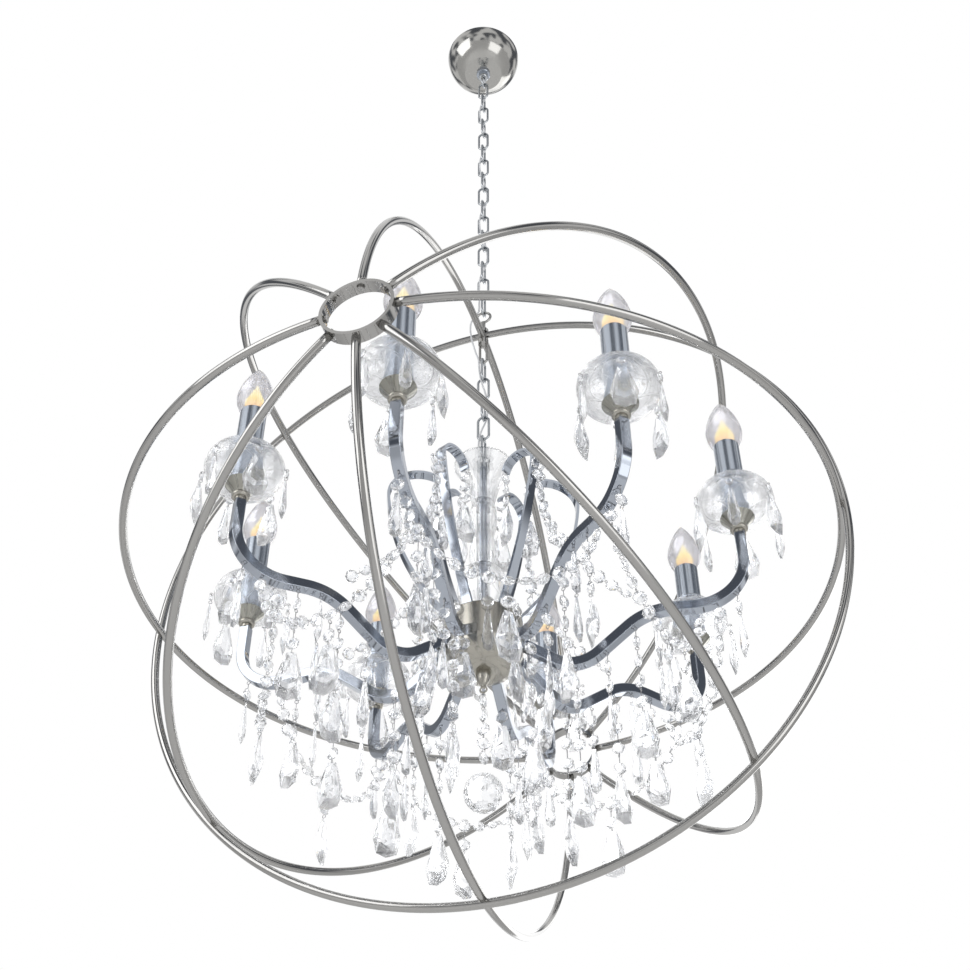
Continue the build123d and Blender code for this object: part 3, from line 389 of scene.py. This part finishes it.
# %% Bulb materials
bulb_glass = clear("bulb glass", (0.94, 0.94, 0.98), 1.45, roughness=0.12, strength=0.02)
bulb_glass.node_tree.nodes["Principled BSDF"].inputs["Transmission Weight"].default_value = 0.72


def warm_glow(low, high):
    """Orange at the foot, yellow in the middle and pale at the tip; the same height for every bulb."""
    material, shader = new_material("filament glow")
    nodes, links = material.node_tree.nodes, material.node_tree.links
    place = nodes.new("ShaderNodeTexCoord")
    split = nodes.new("ShaderNodeSeparateXYZ")
    links.new(place.outputs["Object"], split.inputs[0])
    height = nodes.new("ShaderNodeMapRange")
    height.inputs["From Min"].default_value = low
    height.inputs["From Max"].default_value = high
    links.new(split.outputs["Z"], height.inputs["Value"])
    ramp = nodes.new("ShaderNodeValToRGB")
    ramp.color_ramp.elements[0].color = (1.0, 0.55, 0.22, 1)
    ramp.color_ramp.elements[1].color = (1.0, 0.90, 0.55, 1)
    middle = ramp.color_ramp.elements.new(0.45)
    middle.color = (1.0, 0.78, 0.16, 1)
    links.new(height.outputs["Result"], ramp.inputs["Fac"])
    links.new(ramp.outputs["Color"], shader.inputs["Base Color"])
    links.new(ramp.outputs["Color"], shader.inputs["Emission Color"])
    shader.inputs["Emission Strength"].default_value = 1.1
    return material


base_metal = plated("bulb base", (0.75, 0.72, 0.66), 0.25)

# %% Bulbs
mm = 0.001
bulb_wall = 0.6 * mm
bulb_radius = 18.4 * mm
bulb_tip = 163.8 * mm
sleeve_top = 100.6 * mm
shoulder = sleeve_top + 21 * mm
bulb_foot = 72.7 * mm
glow_low, glow_high = sleeve_top + 7 * mm, sleeve_top + 27 * mm
filament_glow = warm_glow(orb_centre.z + glow_low, orb_centre.z + glow_high)


def bulb_shell(mesh, place):
    lower = arc((8.8 * mm, sleeve_top - 3 * mm), (16.5 * mm, sleeve_top + 10 * mm),
                (bulb_radius, shoulder), 8)
    upper = arc((bulb_radius, shoulder), (13.2 * mm, sleeve_top + 41 * mm), (1.2 * mm, bulb_tip - mm), 12)
    outer = lower + upper[1:] + [(0, bulb_tip)]
    inner = [(max(radius - bulb_wall, 0), height - (bulb_wall if radius == 0 else 0))
             for radius, height in outer]
    turned(mesh, outer + inner[::-1], place, steps=40)


def bulb_base(mesh, place):
    turned(mesh, [(0, bulb_foot), (3.4 * mm, bulb_foot), (6.7 * mm, bulb_foot + 3 * mm),
                  (6.7 * mm, sleeve_top - 6 * mm), (8.6 * mm, sleeve_top - 3 * mm), (0, sleeve_top - 3 * mm)],
           place, steps=32)


def bulb_filament(mesh, place):
    swell = arc((1.6 * mm, glow_low), (4.2 * mm, glow_low + 5 * mm), (3.0 * mm, glow_low + 11 * mm), 6)
    point = arc((3.0 * mm, glow_low + 11 * mm), (1.4 * mm, glow_low + 16 * mm), (0.3 * mm, glow_high), 6)
    turned(mesh, [(0, glow_low)] + swell + point[1:] + [(0, glow_high)], place, steps=20)


for number, place in enumerate(candle_places, start=1):
    body = f"lamp_{number}"
    shell = bmesh.new()
    bulb_shell(shell, place)
    glass = finished(f"bulb_{number}_glass", shell, body, bulb_glass)
    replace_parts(glass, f"bulb_{number}")
    base = bmesh.new()
    bulb_base(base, place)
    finished(f"bulb_{number}_base", base, body, base_metal)
    light = bmesh.new()
    bulb_filament(light, place)
    finished(f"bulb_{number}_filament", light, body, filament_glow)
print("bulbs", arm_count)

# %% [markdown]
# ## Cut glass cups
# Each cup is blown glass with a belly, a small neck and a lip, and a wheel has cut crossing grooves into
# it. The wall is spun as one closed profile. The grooves follow the surface, so the pattern reads the
# cup's own UV map, whose first axis runs round and whose second runs up.

# %% Cut glass
def cut_glass():
    material, shader = new_material("cut glass")
    shader.inputs["Base Color"].default_value = (0.97, 0.975, 0.99, 1)
    shader.inputs["Transmission Weight"].default_value = 1
    shader.inputs["IOR"].default_value = 1.5
    shader.inputs["Alpha"].default_value = 0.6
    nodes, links = material.node_tree.nodes, material.node_tree.links
    place = nodes.new("ShaderNodeTexCoord")
    grooves = []
    for lean in (0.5, -0.5):
        turn = nodes.new("ShaderNodeVectorMath")
        turn.operation = "DOT_PRODUCT"
        turn.inputs[1].default_value = (1, lean, 0)
        links.new(place.outputs["UV"], turn.inputs[0])
        wave = nodes.new("ShaderNodeMath")
        wave.operation = "PINGPONG"
        wave.inputs[1].default_value = 1 / cut_count
        links.new(turn.outputs["Value"], wave.inputs[0])
        groove = nodes.new("ShaderNodeMapRange")
        groove.inputs["From Max"].default_value = cut_width
        groove.inputs["To Min"].default_value = 1
        groove.inputs["To Max"].default_value = 0
        links.new(wave.outputs[0], groove.inputs["Value"])
        grooves.append(groove)
    deepest = nodes.new("ShaderNodeMath")
    deepest.operation = "MAXIMUM"
    links.new(grooves[0].outputs["Result"], deepest.inputs[0])
    links.new(grooves[1].outputs["Result"], deepest.inputs[1])
    frost = nodes.new("ShaderNodeMath")
    frost.operation = "MULTIPLY"
    frost.inputs[1].default_value = 0.35
    links.new(deepest.outputs[0], frost.inputs[0])
    links.new(frost.outputs[0], shader.inputs["Roughness"])
    bump = nodes.new("ShaderNodeBump")
    bump.invert = True
    bump.inputs["Distance"].default_value = 0.0005
    bump.inputs["Strength"].default_value = 0.5
    links.new(deepest.outputs[0], bump.inputs["Height"])
    links.new(bump.outputs["Normal"], shader.inputs["Normal"])
    return material


cut_count = 10
cut_width = 0.006
cup_glass = cut_glass()

# %% Cups
cup_wall = 2.0 * mm
cup_radius = 37.5 * mm
cup_foot = -3.7 * mm
cup_seat = 6.8 * mm
cup_belly = 23.3 * mm
lip_foot = 46.3 * mm
cup_top = 55.3 * mm


def cup_profile():
    belly = arc((15.2 * mm, cup_seat), (cup_radius, cup_belly), (18 * mm, lip_foot), 18)
    lip = arc((18 * mm, lip_foot), (16 * mm, (lip_foot + cup_top) / 2), (17 * mm, cup_top), 5)
    throat = arc((15 * mm, cup_top), (14 * mm, (lip_foot + cup_top) / 2),
                 (16 * mm, lip_foot - cup_wall / 2), 5)
    inside = arc((16 * mm, lip_foot - cup_wall / 2), (cup_radius - cup_wall, cup_belly),
                 (15.2 * mm, cup_seat + cup_wall), 18)
    foot = [(3.6 * mm, cup_foot), (5.9 * mm, cup_foot)]
    closing = [(3.6 * mm, cup_seat + cup_wall - 0.6 * mm), (3.6 * mm, cup_foot)]
    return foot + belly + lip[1:] + throat + inside[1:] + closing


def unwrap_turned(mesh, low, high):
    """UV map of a turned piece: round its axis, and from low to high."""
    layer = mesh.loops.layers.uv.new("round")
    for face in mesh.faces:
        middle = face.calc_center_median()
        centre_turn = atan2(middle.y, middle.x) / tau
        for loop in face.loops:
            turn = atan2(loop.vert.co.y, loop.vert.co.x) / tau
            turn += round(centre_turn - turn)
            loop[layer].uv = (turn, (loop.vert.co.z - low) / (high - low))


cups = bmesh.new()
for place in candle_places:
    cup = bmesh.new()
    turned(cup, cup_profile(), Matrix.Identity(4), steps=56)
    unwrap_turned(cup, cup_foot, cup_top)
    bmesh.ops.transform(cup, matrix=place, verts=cup.verts)
    single = bpy.data.meshes.new("cup")
    cup.to_mesh(single)
    cup.free()
    cups.from_mesh(single)
    bpy.data.meshes.remove(single)
cut_cups = finished("cut_cups", cups, "chandelier", cup_glass)
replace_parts(cut_cups, "glass_cups")
print("cups", arm_count)

# %% [markdown]
# ## Crystals
# Hundreds of stones hang here, of only five shapes, so each shape is cut once as a small template and
# then stamped wherever one hangs. A stone's origin is the top of its wire. Facets come from the convex
# hull of a few rings, each turned half a step against the last, which is how a cutter lays them out.

# %% Stone templates
def template(name, build):
    mesh = bmesh.new()
    build(mesh)
    bmesh.ops.recalc_face_normals(mesh, faces=mesh.faces)
    data = bpy.data.meshes.new(name)
    mesh.to_mesh(data)
    mesh.free()
    return data


def hull_of_rings(mesh, rings):
    """Facets round rings of points, each as (points, centre height, half width, depth, half height, turn)."""
    for count, centre, width, depth, height, turn in rings:
        made = bmesh.ops.create_circle(mesh, segments=count, radius=1)
        shape = (Matrix.Translation(Vector((0, depth, centre))) @ Matrix.Diagonal((width, 1, height, 1))
                 @ Matrix.Rotation(pi / 2, 4, "X") @ Matrix.Rotation(turn, 4, "Z"))
        bmesh.ops.transform(mesh, matrix=shape, verts=made["verts"])
    bmesh.ops.convex_hull(mesh, input=mesh.verts)
    loose = [vert for vert in mesh.verts if not vert.link_faces]
    bmesh.ops.delete(mesh, geom=loose, context="VERTS")


def octagon_stone(size, pin):
    corner = size / 2 / cos(pi / 8)
    middle = -pin - size / 2
    half_step = pi / 8

    def build(mesh):
        hull_of_rings(mesh, [
            (8, middle, corner, 0, corner, half_step),
            (8, middle, corner * 0.74, size * 0.17, corner * 0.74, 0),
            (8, middle, corner * 0.74, -size * 0.17, corner * 0.74, 0),
            (8, middle, corner * 0.42, size * 0.25, corner * 0.42, half_step),
            (8, middle, corner * 0.42, -size * 0.25, corner * 0.42, half_step),
        ])
    return build


def drop_stone(length, width, thickness, shoulder, pin):
    """Pear outline with a raised table near its shoulder, on both faces."""
    def build(mesh):
        outline = [(width * 0.16, 0), (width * 0.37, -length * shoulder * 0.6),
                   (width * 0.5, -length * shoulder), (width * 0.36, -length * 0.93), (0, -length)]
        for across, down in outline:
            for side in ((1, -1) if across else (1,)):
                mesh.verts.new((across * side, 0, down - pin))
        table = -length * shoulder - pin
        for depth in (-thickness / 2, thickness / 2):
            made = bmesh.ops.create_circle(mesh, segments=6, radius=1)
            shape = (Matrix.Translation((0, depth, table * 0.96))
                     @ Matrix.Diagonal((width * 0.26, 1, length * 0.13, 1)) @ Matrix.Rotation(pi / 2, 4, "X"))
            bmesh.ops.transform(mesh, matrix=shape, verts=made["verts"])
            mesh.verts.new((0, depth * 0.45, -pin - length * 0.12))
        bmesh.ops.convex_hull(mesh, input=mesh.verts)
        loose = [vert for vert in mesh.verts if not vert.link_faces]
        bmesh.ops.delete(mesh, geom=loose, context="VERTS")
    return build


def wire_ring(radius, wire):
    """Small jump ring that joins a stone to the one above, with its top at the origin."""
    def build(mesh):
        made = bmesh.ops.create_circle(mesh, segments=5, radius=wire)
        bmesh.ops.transform(mesh, verts=made["verts"],
                            matrix=Matrix.Translation((radius, 0, 0)) @ Matrix.Rotation(pi / 2, 4, "X"))
        bmesh.ops.spin(mesh, geom=mesh.verts[:] + mesh.edges[:], cent=(0, 0, 0), axis=(0, 0, 1), angle=tau,
                       steps=10, use_merge=True)
        stand = Matrix.Translation((0, 0, -radius)) @ Matrix.Rotation(pi / 2, 4, "Y")
        bmesh.ops.transform(mesh, matrix=stand, verts=mesh.verts)
    return build


def long_wire(length, wire):
    """A jump ring with a straight pin below it, for stones that hang further apart."""
    def build(mesh):
        wire_ring(1.8 * mm, wire)(mesh)
        before = len(mesh.verts)
        bmesh.ops.create_cone(mesh, segments=5, radius1=wire, radius2=wire, depth=length - 3 * mm)
        mesh.verts.ensure_lookup_table()
        bmesh.ops.translate(mesh, vec=(0, 0, -(length + 3 * mm) / 2), verts=mesh.verts[before:])
    return build


octagon_size, octagon_pitch, strand_pitch, small_pitch = 12 * mm, 15 * mm, 22 * mm, 10.5 * mm
gap = 0.3 * mm
long_pin = strand_pitch - octagon_size - gap
octagon = template("octagon", octagon_stone(octagon_size, octagon_pitch - octagon_size - gap))
long_octagon = template("octagon on a long pin", octagon_stone(octagon_size, long_pin))
small_octagon = template("small octagon", octagon_stone(8 * mm, 2.2 * mm))
spear = template("spear", drop_stone(48 * mm, 12 * mm, 6 * mm, 0.72, 3 * mm))
pendant = template("pendant", drop_stone(50 * mm, 25 * mm, 9 * mm, 0.62, 3 * mm))
ring = template("ring", wire_ring(1.8 * mm, 0.35 * mm))
long_link = template("long link", long_wire(long_pin + mm, 0.4 * mm))
print("facets", len(octagon.polygons), len(spear.polygons), len(pendant.polygons))

# %% [markdown]
# A strand is stones one under the other. A garland follows an arc through three points, stone after stone,
# each turned a little further than the last, so that the facets catch the light at different moments.

# %% Strands and garlands
strand_turn, garland_turn = radians(24), radians(37)


def stamp(stones, wires, data, place, link=None):
    for mesh, source in ((stones, data), (wires, link or ring)):
        before = len(mesh.verts)
        mesh.from_mesh(source)
        mesh.verts.ensure_lookup_table()
        bmesh.ops.transform(mesh, matrix=place, verts=mesh.verts[before:])


def polar(height, radius, angle):
    """A point round the column, from the orb's centre."""
    return orb_centre + Vector((radius * cos(angle), radius * sin(angle), height))


def hung(height, radius, angle, turn=0.0):
    """The place of a stone that hangs there, facing the column."""
    return Matrix.Translation(polar(height, radius, angle)) @ Matrix.Rotation(angle + pi / 2 + turn, 4, "Z")


def strand(stones, wires, height, radius, angle, plan):
    """Stones one under the other, each given with its wire and its pitch."""
    for number, (stone, link, pitch) in enumerate(plan):
        stamp(stones, wires, stone, hung(height, radius, angle, strand_turn * number), link)
        height -= pitch


bead = (octagon, ring, octagon_pitch)
long_bead = (long_octagon, long_link, strand_pitch)
spear_drop = (spear, ring, 51.3 * mm)
pendant_drop = (pendant, ring, 53.3 * mm)


def garland(stones, wires, start, middle, end):
    """Octagons one after the other along the circle through three points."""
    first, second = middle - start, end - start
    normal = first.cross(second)
    centre = start + (normal.cross(first) * second.length_squared
                      + second.cross(normal) * first.length_squared) / (2 * normal.length_squared)
    radius = (start - centre).length
    axis = normal.normalized()
    spoke = start - centre
    turn = atan2(axis.dot(spoke.cross(end - centre)), spoke.dot(end - centre)) % tau
    count = int(radius * turn / octagon_pitch)
    for number in range(count):
        swing = Matrix.Rotation(number * octagon_pitch / radius, 4, axis)
        out = swing @ spoke
        along = axis.cross(out).normalized()
        down = -along
        across = Vector((-along.y, along.x, 0))
        across = (across if abs(along.z) < 0.98 else Vector((1, 0, 0))).normalized()
        side = down.cross(across).normalized()
        across = side.cross(down)
        basis = Matrix((across, side, down)).transposed().to_4x4()
        spin = Matrix.Rotation(garland_turn * number, 4, "Z")
        stamp(stones, wires, octagon, Matrix.Translation(centre + out) @ basis @ spin)


# %% Where the arms' undersides are
depsgraph = bpy.context.evaluated_depsgraph_get()
first_arm = BVHTree.FromObject(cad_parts["arm_1"], depsgraph)


def arm_underside(radius):
    """Height of the arm's lower face, from the orb's centre, found by looking up from below."""
    hit = first_arm.ray_cast(orb_centre + Vector((0, -radius, -0.4)), Vector((0, 0, 1)))
    return hit[0].z - orb_centre.z


print("arm undersides", [round(arm_underside(radius / 1000), 4) for radius in (88, 118, 146, 188, 242)])

# %% Stones under the arms
hook_wire = plated("hook wire", (0.42, 0.42, 0.43), 0.15)
arm_stones, arm_wires = bmesh.new(), bmesh.new()
arm_plan = [
    (0.242, [long_bead, spear_drop]),
    (0.188, [long_bead] * 3 + [pendant_drop]),
    (0.166, [spear_drop, spear_drop]),
    (0.146, [long_bead] * 4 + [pendant_drop]),
    (0.118, [long_bead] * 2 + [spear_drop]),
    (0.088, [long_bead] * 5 + [pendant_drop]),
    (0.062, [bead, pendant_drop]),
]
swag_start, swag_end, swag_drop = 0.224, 0.206, 0.078
swag_height, swag_end_height = arm_underside(swag_start) - gap, arm_underside(swag_end) - gap
swag_low, swag_low_radius = swag_height - swag_drop, (swag_start + swag_end) / 2 * cos(pi / arm_count)
onward = tau / arm_count
for angle in arm_angles:
    for radius, plan in arm_plan:
        strand(arm_stones, arm_wires, arm_underside(radius) - gap, radius, angle, plan)
    garland(arm_stones, arm_wires, polar(swag_height, swag_start, angle),
            polar(swag_low, swag_low_radius, angle + onward / 2),
            polar(swag_end_height, swag_end, angle + onward))
    strand(arm_stones, arm_wires, swag_low - octagon_size / 2 - gap, swag_low_radius, angle + onward / 2,
           [long_bead, pendant_drop])
under_arms = finished("stones_under_arms", arm_stones, "chandelier", crystal, smooth=False)
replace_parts(under_arms, "arm_crystals")
finished("wires_under_arms", arm_wires, "chandelier", hook_wire)

# %% Stones round the cups
cup_stones, cup_wires = bmesh.new(), bmesh.new()
cup_drops = 6
hook_radius = cup_radius + 2.3 * mm
for place in candle_places:
    for number in range(cup_drops):
        around = Matrix.Rotation(tau / cup_drops * (number + 0.5), 4, "Z")
        hook = place @ around @ Matrix.Translation((hook_radius, 0, cup_belly + cup_wall))
        sideways = Matrix.Rotation(pi / 2, 4, "Z")
        stamp(cup_stones, cup_wires, small_octagon, hook @ sideways)
        last = pendant if number % 2 else spear
        stamp(cup_stones, cup_wires, last, hook @ Matrix.Translation((0, 0, -small_pitch)) @ sideways)
round_cups = finished("stones_round_cups", cup_stones, "chandelier", crystal, smooth=False)
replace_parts(round_cups, "cup_crystals")
finished("wires_round_cups", cup_wires, "chandelier", hook_wire)

# %% Stones on the crown
crown_stones, crown_wires = bmesh.new(), bmesh.new()
tall_angles = [arm_angles[0] - pi / arm_count + pi / 2 * number for number in range(4)]
wide_angles = [tall_angles[0] - pi / 4, tall_angles[2] - pi / 4]
tall_tip, wide_tip = (0.1175, 0.0296), (0.1195, 0.0455)
body_hook_height, body_hook_radius = -0.060, 0.0413
for angles, (tip_height, tip_radius) in ((tall_angles, tall_tip), (wide_angles, wide_tip)):
    for angle in angles:
        strand(crown_stones, crown_wires, tip_height, tip_radius, angle, [bead] * 3 + [pendant_drop])
for angle in tall_angles:
    for side in (-1, 1):
        garland(crown_stones, crown_wires, polar(0.112, 0.074, angle + radians(5) * side),
                polar(-0.020, 0.100, angle + radians(9) * side),
                polar(-0.074, 0.158, angle + pi / arm_count * side))
for angle in arm_angles:
    between = angle + pi / arm_count
    stamp(crown_stones, crown_wires, octagon, hung(body_hook_height, body_hook_radius, between))
    stamp(crown_stones, crown_wires, spear, hung(body_hook_height - octagon_pitch, body_hook_radius, between))
on_crown = finished("stones_on_crown", crown_stones, "chandelier", crystal, smooth=False)
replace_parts(on_crown, "crown_crystals")
finished("wires_on_crown", crown_wires, "chandelier", hook_wire)

# %% Faceted ball
ball_radius = 18 * mm
ball_centre = orb_centre + Vector((0, 0, -0.249))
ball_mesh = bmesh.new()
latitudes = [-74, -50, -25, 0, 25, 50, 74]
for number, latitude in enumerate(latitudes):
    made = bmesh.ops.create_circle(ball_mesh, segments=14, radius=ball_radius * cos(radians(latitude)))
    level = Matrix.Translation((0, 0, ball_radius * sin(radians(latitude))))
    bmesh.ops.transform(ball_mesh, matrix=level @ Matrix.Rotation(pi / 14 * (number % 2), 4, "Z"),
                        verts=made["verts"])
bmesh.ops.convex_hull(ball_mesh, input=ball_mesh.verts)
bmesh.ops.translate(ball_mesh, vec=ball_centre, verts=ball_mesh.verts)
ball_wires = bmesh.new()
hook_foot = -0.1445
for number in range(5):
    turn = radians(40 * number)
    stamp(ball_mesh, ball_wires, octagon, hung(hook_foot - number * octagon_pitch, 0, 0, turn))
ball = finished("faceted_ball", ball_mesh, "ball", crystal, smooth=False)
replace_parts(ball, "ball_drop")
finished("wires_on_ball", ball_wires, "ball", hook_wire)
print("stones stamped")

# %% [markdown]
# ## Studio
# A pale floor lies well below the light. The world is white to the camera, and a soft grey studio with
# darker sides to everything else, so that chrome and crystal have something to reflect.

# %% World
world = bpy.data.worlds.new("studio")
bpy.context.scene.world = world
world.use_nodes = True
nodes, links = world.node_tree.nodes, world.node_tree.links
nodes.clear()
direction = nodes.new("ShaderNodeTexCoord")


def studio_bands(scale, low, high, dark):
    """Broad soft cards round the studio, from dark to white."""
    noise = nodes.new("ShaderNodeTexNoise")
    noise.inputs["Scale"].default_value = scale
    noise.inputs["Detail"].default_value = 0
    links.new(direction.outputs["Generated"], noise.inputs["Vector"])
    ramp = nodes.new("ShaderNodeValToRGB")
    ramp.color_ramp.elements[0].position = low
    ramp.color_ramp.elements[0].color = (*dark, 1)
    ramp.color_ramp.elements[1].position = high
    ramp.color_ramp.elements[1].color = (1, 1, 1, 1)
    links.new(noise.outputs["Fac"], ramp.inputs["Fac"])
    background = nodes.new("ShaderNodeBackground")
    links.new(ramp.outputs["Color"], background.inputs["Color"])
    return background


def switched(ray, otherwise, shown):
    """Shows one background to a kind of ray and the other to the rest."""
    choose = nodes.new("ShaderNodeMixShader")
    links.new(path.outputs[ray], choose.inputs["Fac"])
    links.new(otherwise.outputs[0], choose.inputs[1])
    links.new(shown.outputs[0], choose.inputs[2])
    return choose


path = nodes.new("ShaderNodeLightPath")
plain = nodes.new("ShaderNodeBackground")
plain.inputs["Color"].default_value = (0.80, 0.80, 0.80, 1)
white = nodes.new("ShaderNodeBackground")
white.inputs["Color"].default_value = (1, 1, 1, 1)
in_metal = studio_bands(3.4, 0.40, 0.56, (0.14, 0.15, 0.17))
through_glass = studio_bands(3.0, 0.30, 0.46, (0.35, 0.36, 0.38))
shown = switched("Is Glossy Ray", plain, in_metal)
shown = switched("Is Transmission Ray", shown, through_glass)
shown = switched("Is Camera Ray", shown, white)
out = nodes.new("ShaderNodeOutputWorld")
links.new(shown.outputs[0], out.inputs["Surface"])

# %% Floor and lamps
floor_height, floor_reach = -2.3, 40
floor_mesh = bmesh.new()
bmesh.ops.create_grid(floor_mesh, x_segments=1, y_segments=1, size=floor_reach)
bmesh.ops.translate(floor_mesh, vec=(0, 0, floor_height), verts=floor_mesh.verts)
floor_data = bpy.data.meshes.new("floor")
floor_mesh.to_mesh(floor_data)
floor_mesh.free()
floor = bpy.data.objects.new("floor", floor_data)
bpy.context.scene.collection.objects.link(floor)
floor_paint, shader = new_material("floor paint")
shader.inputs["Base Color"].default_value = (0.86, 0.86, 0.86, 1)
shader.inputs["Roughness"].default_value = 0.7
floor_data.materials.append(floor_paint)


def softbox(name, place, target, size, power):
    data = bpy.data.lights.new(name, "AREA")
    data.size = size
    data.energy = power
    lamp = bpy.data.objects.new(name, data)
    lamp.location = place
    lamp.rotation_euler = (Vector(target) - Vector(place)).to_track_quat("-Z", "Y").to_euler()
    bpy.context.scene.collection.objects.link(lamp)


softbox("key softbox", (-1.8, -2.0, -0.1), orb_centre, 2.0, 30)
softbox("fill softbox", (2.2, -1.6, -1.2), orb_centre, 1.8, 16)
softbox("back softbox", (0.4, 2.4, -0.4), orb_centre, 2.0, 20)

# %% [markdown]
# ## Camera
# The photograph was taken from below and close, so the near hub hides part of the body. The camera stands
# where the ring, the hoops and the candles all fall on their places in the picture.

# %% Camera
camera_data = bpy.data.cameras.new("camera")
camera = bpy.data.objects.new("camera", camera_data)
bpy.context.scene.collection.objects.link(camera)
bpy.context.scene.camera = camera
camera.location = (0.3087, -1.0188, -1.8272)
yaw, pitch, roll = radians(-16.17), radians(40.85), radians(-0.463)
forward = Vector((sin(yaw) * cos(pitch), cos(yaw) * cos(pitch), sin(pitch)))
level = Vector((cos(yaw), -sin(yaw), 0))
upright = level.cross(forward)
right = level * cos(roll) + upright * sin(roll)
upwards = right.cross(forward)
camera.rotation_euler = Matrix((right, upwards, -forward)).transposed().to_euler()
camera_data.lens = 51.64
camera_data.shift_x = -0.01139
camera_data.shift_y = 0.05276
camera_data.clip_start = 0.05
bpy.context.scene.view_settings.view_transform = "Standard"
print("camera at", tuple(camera.location))
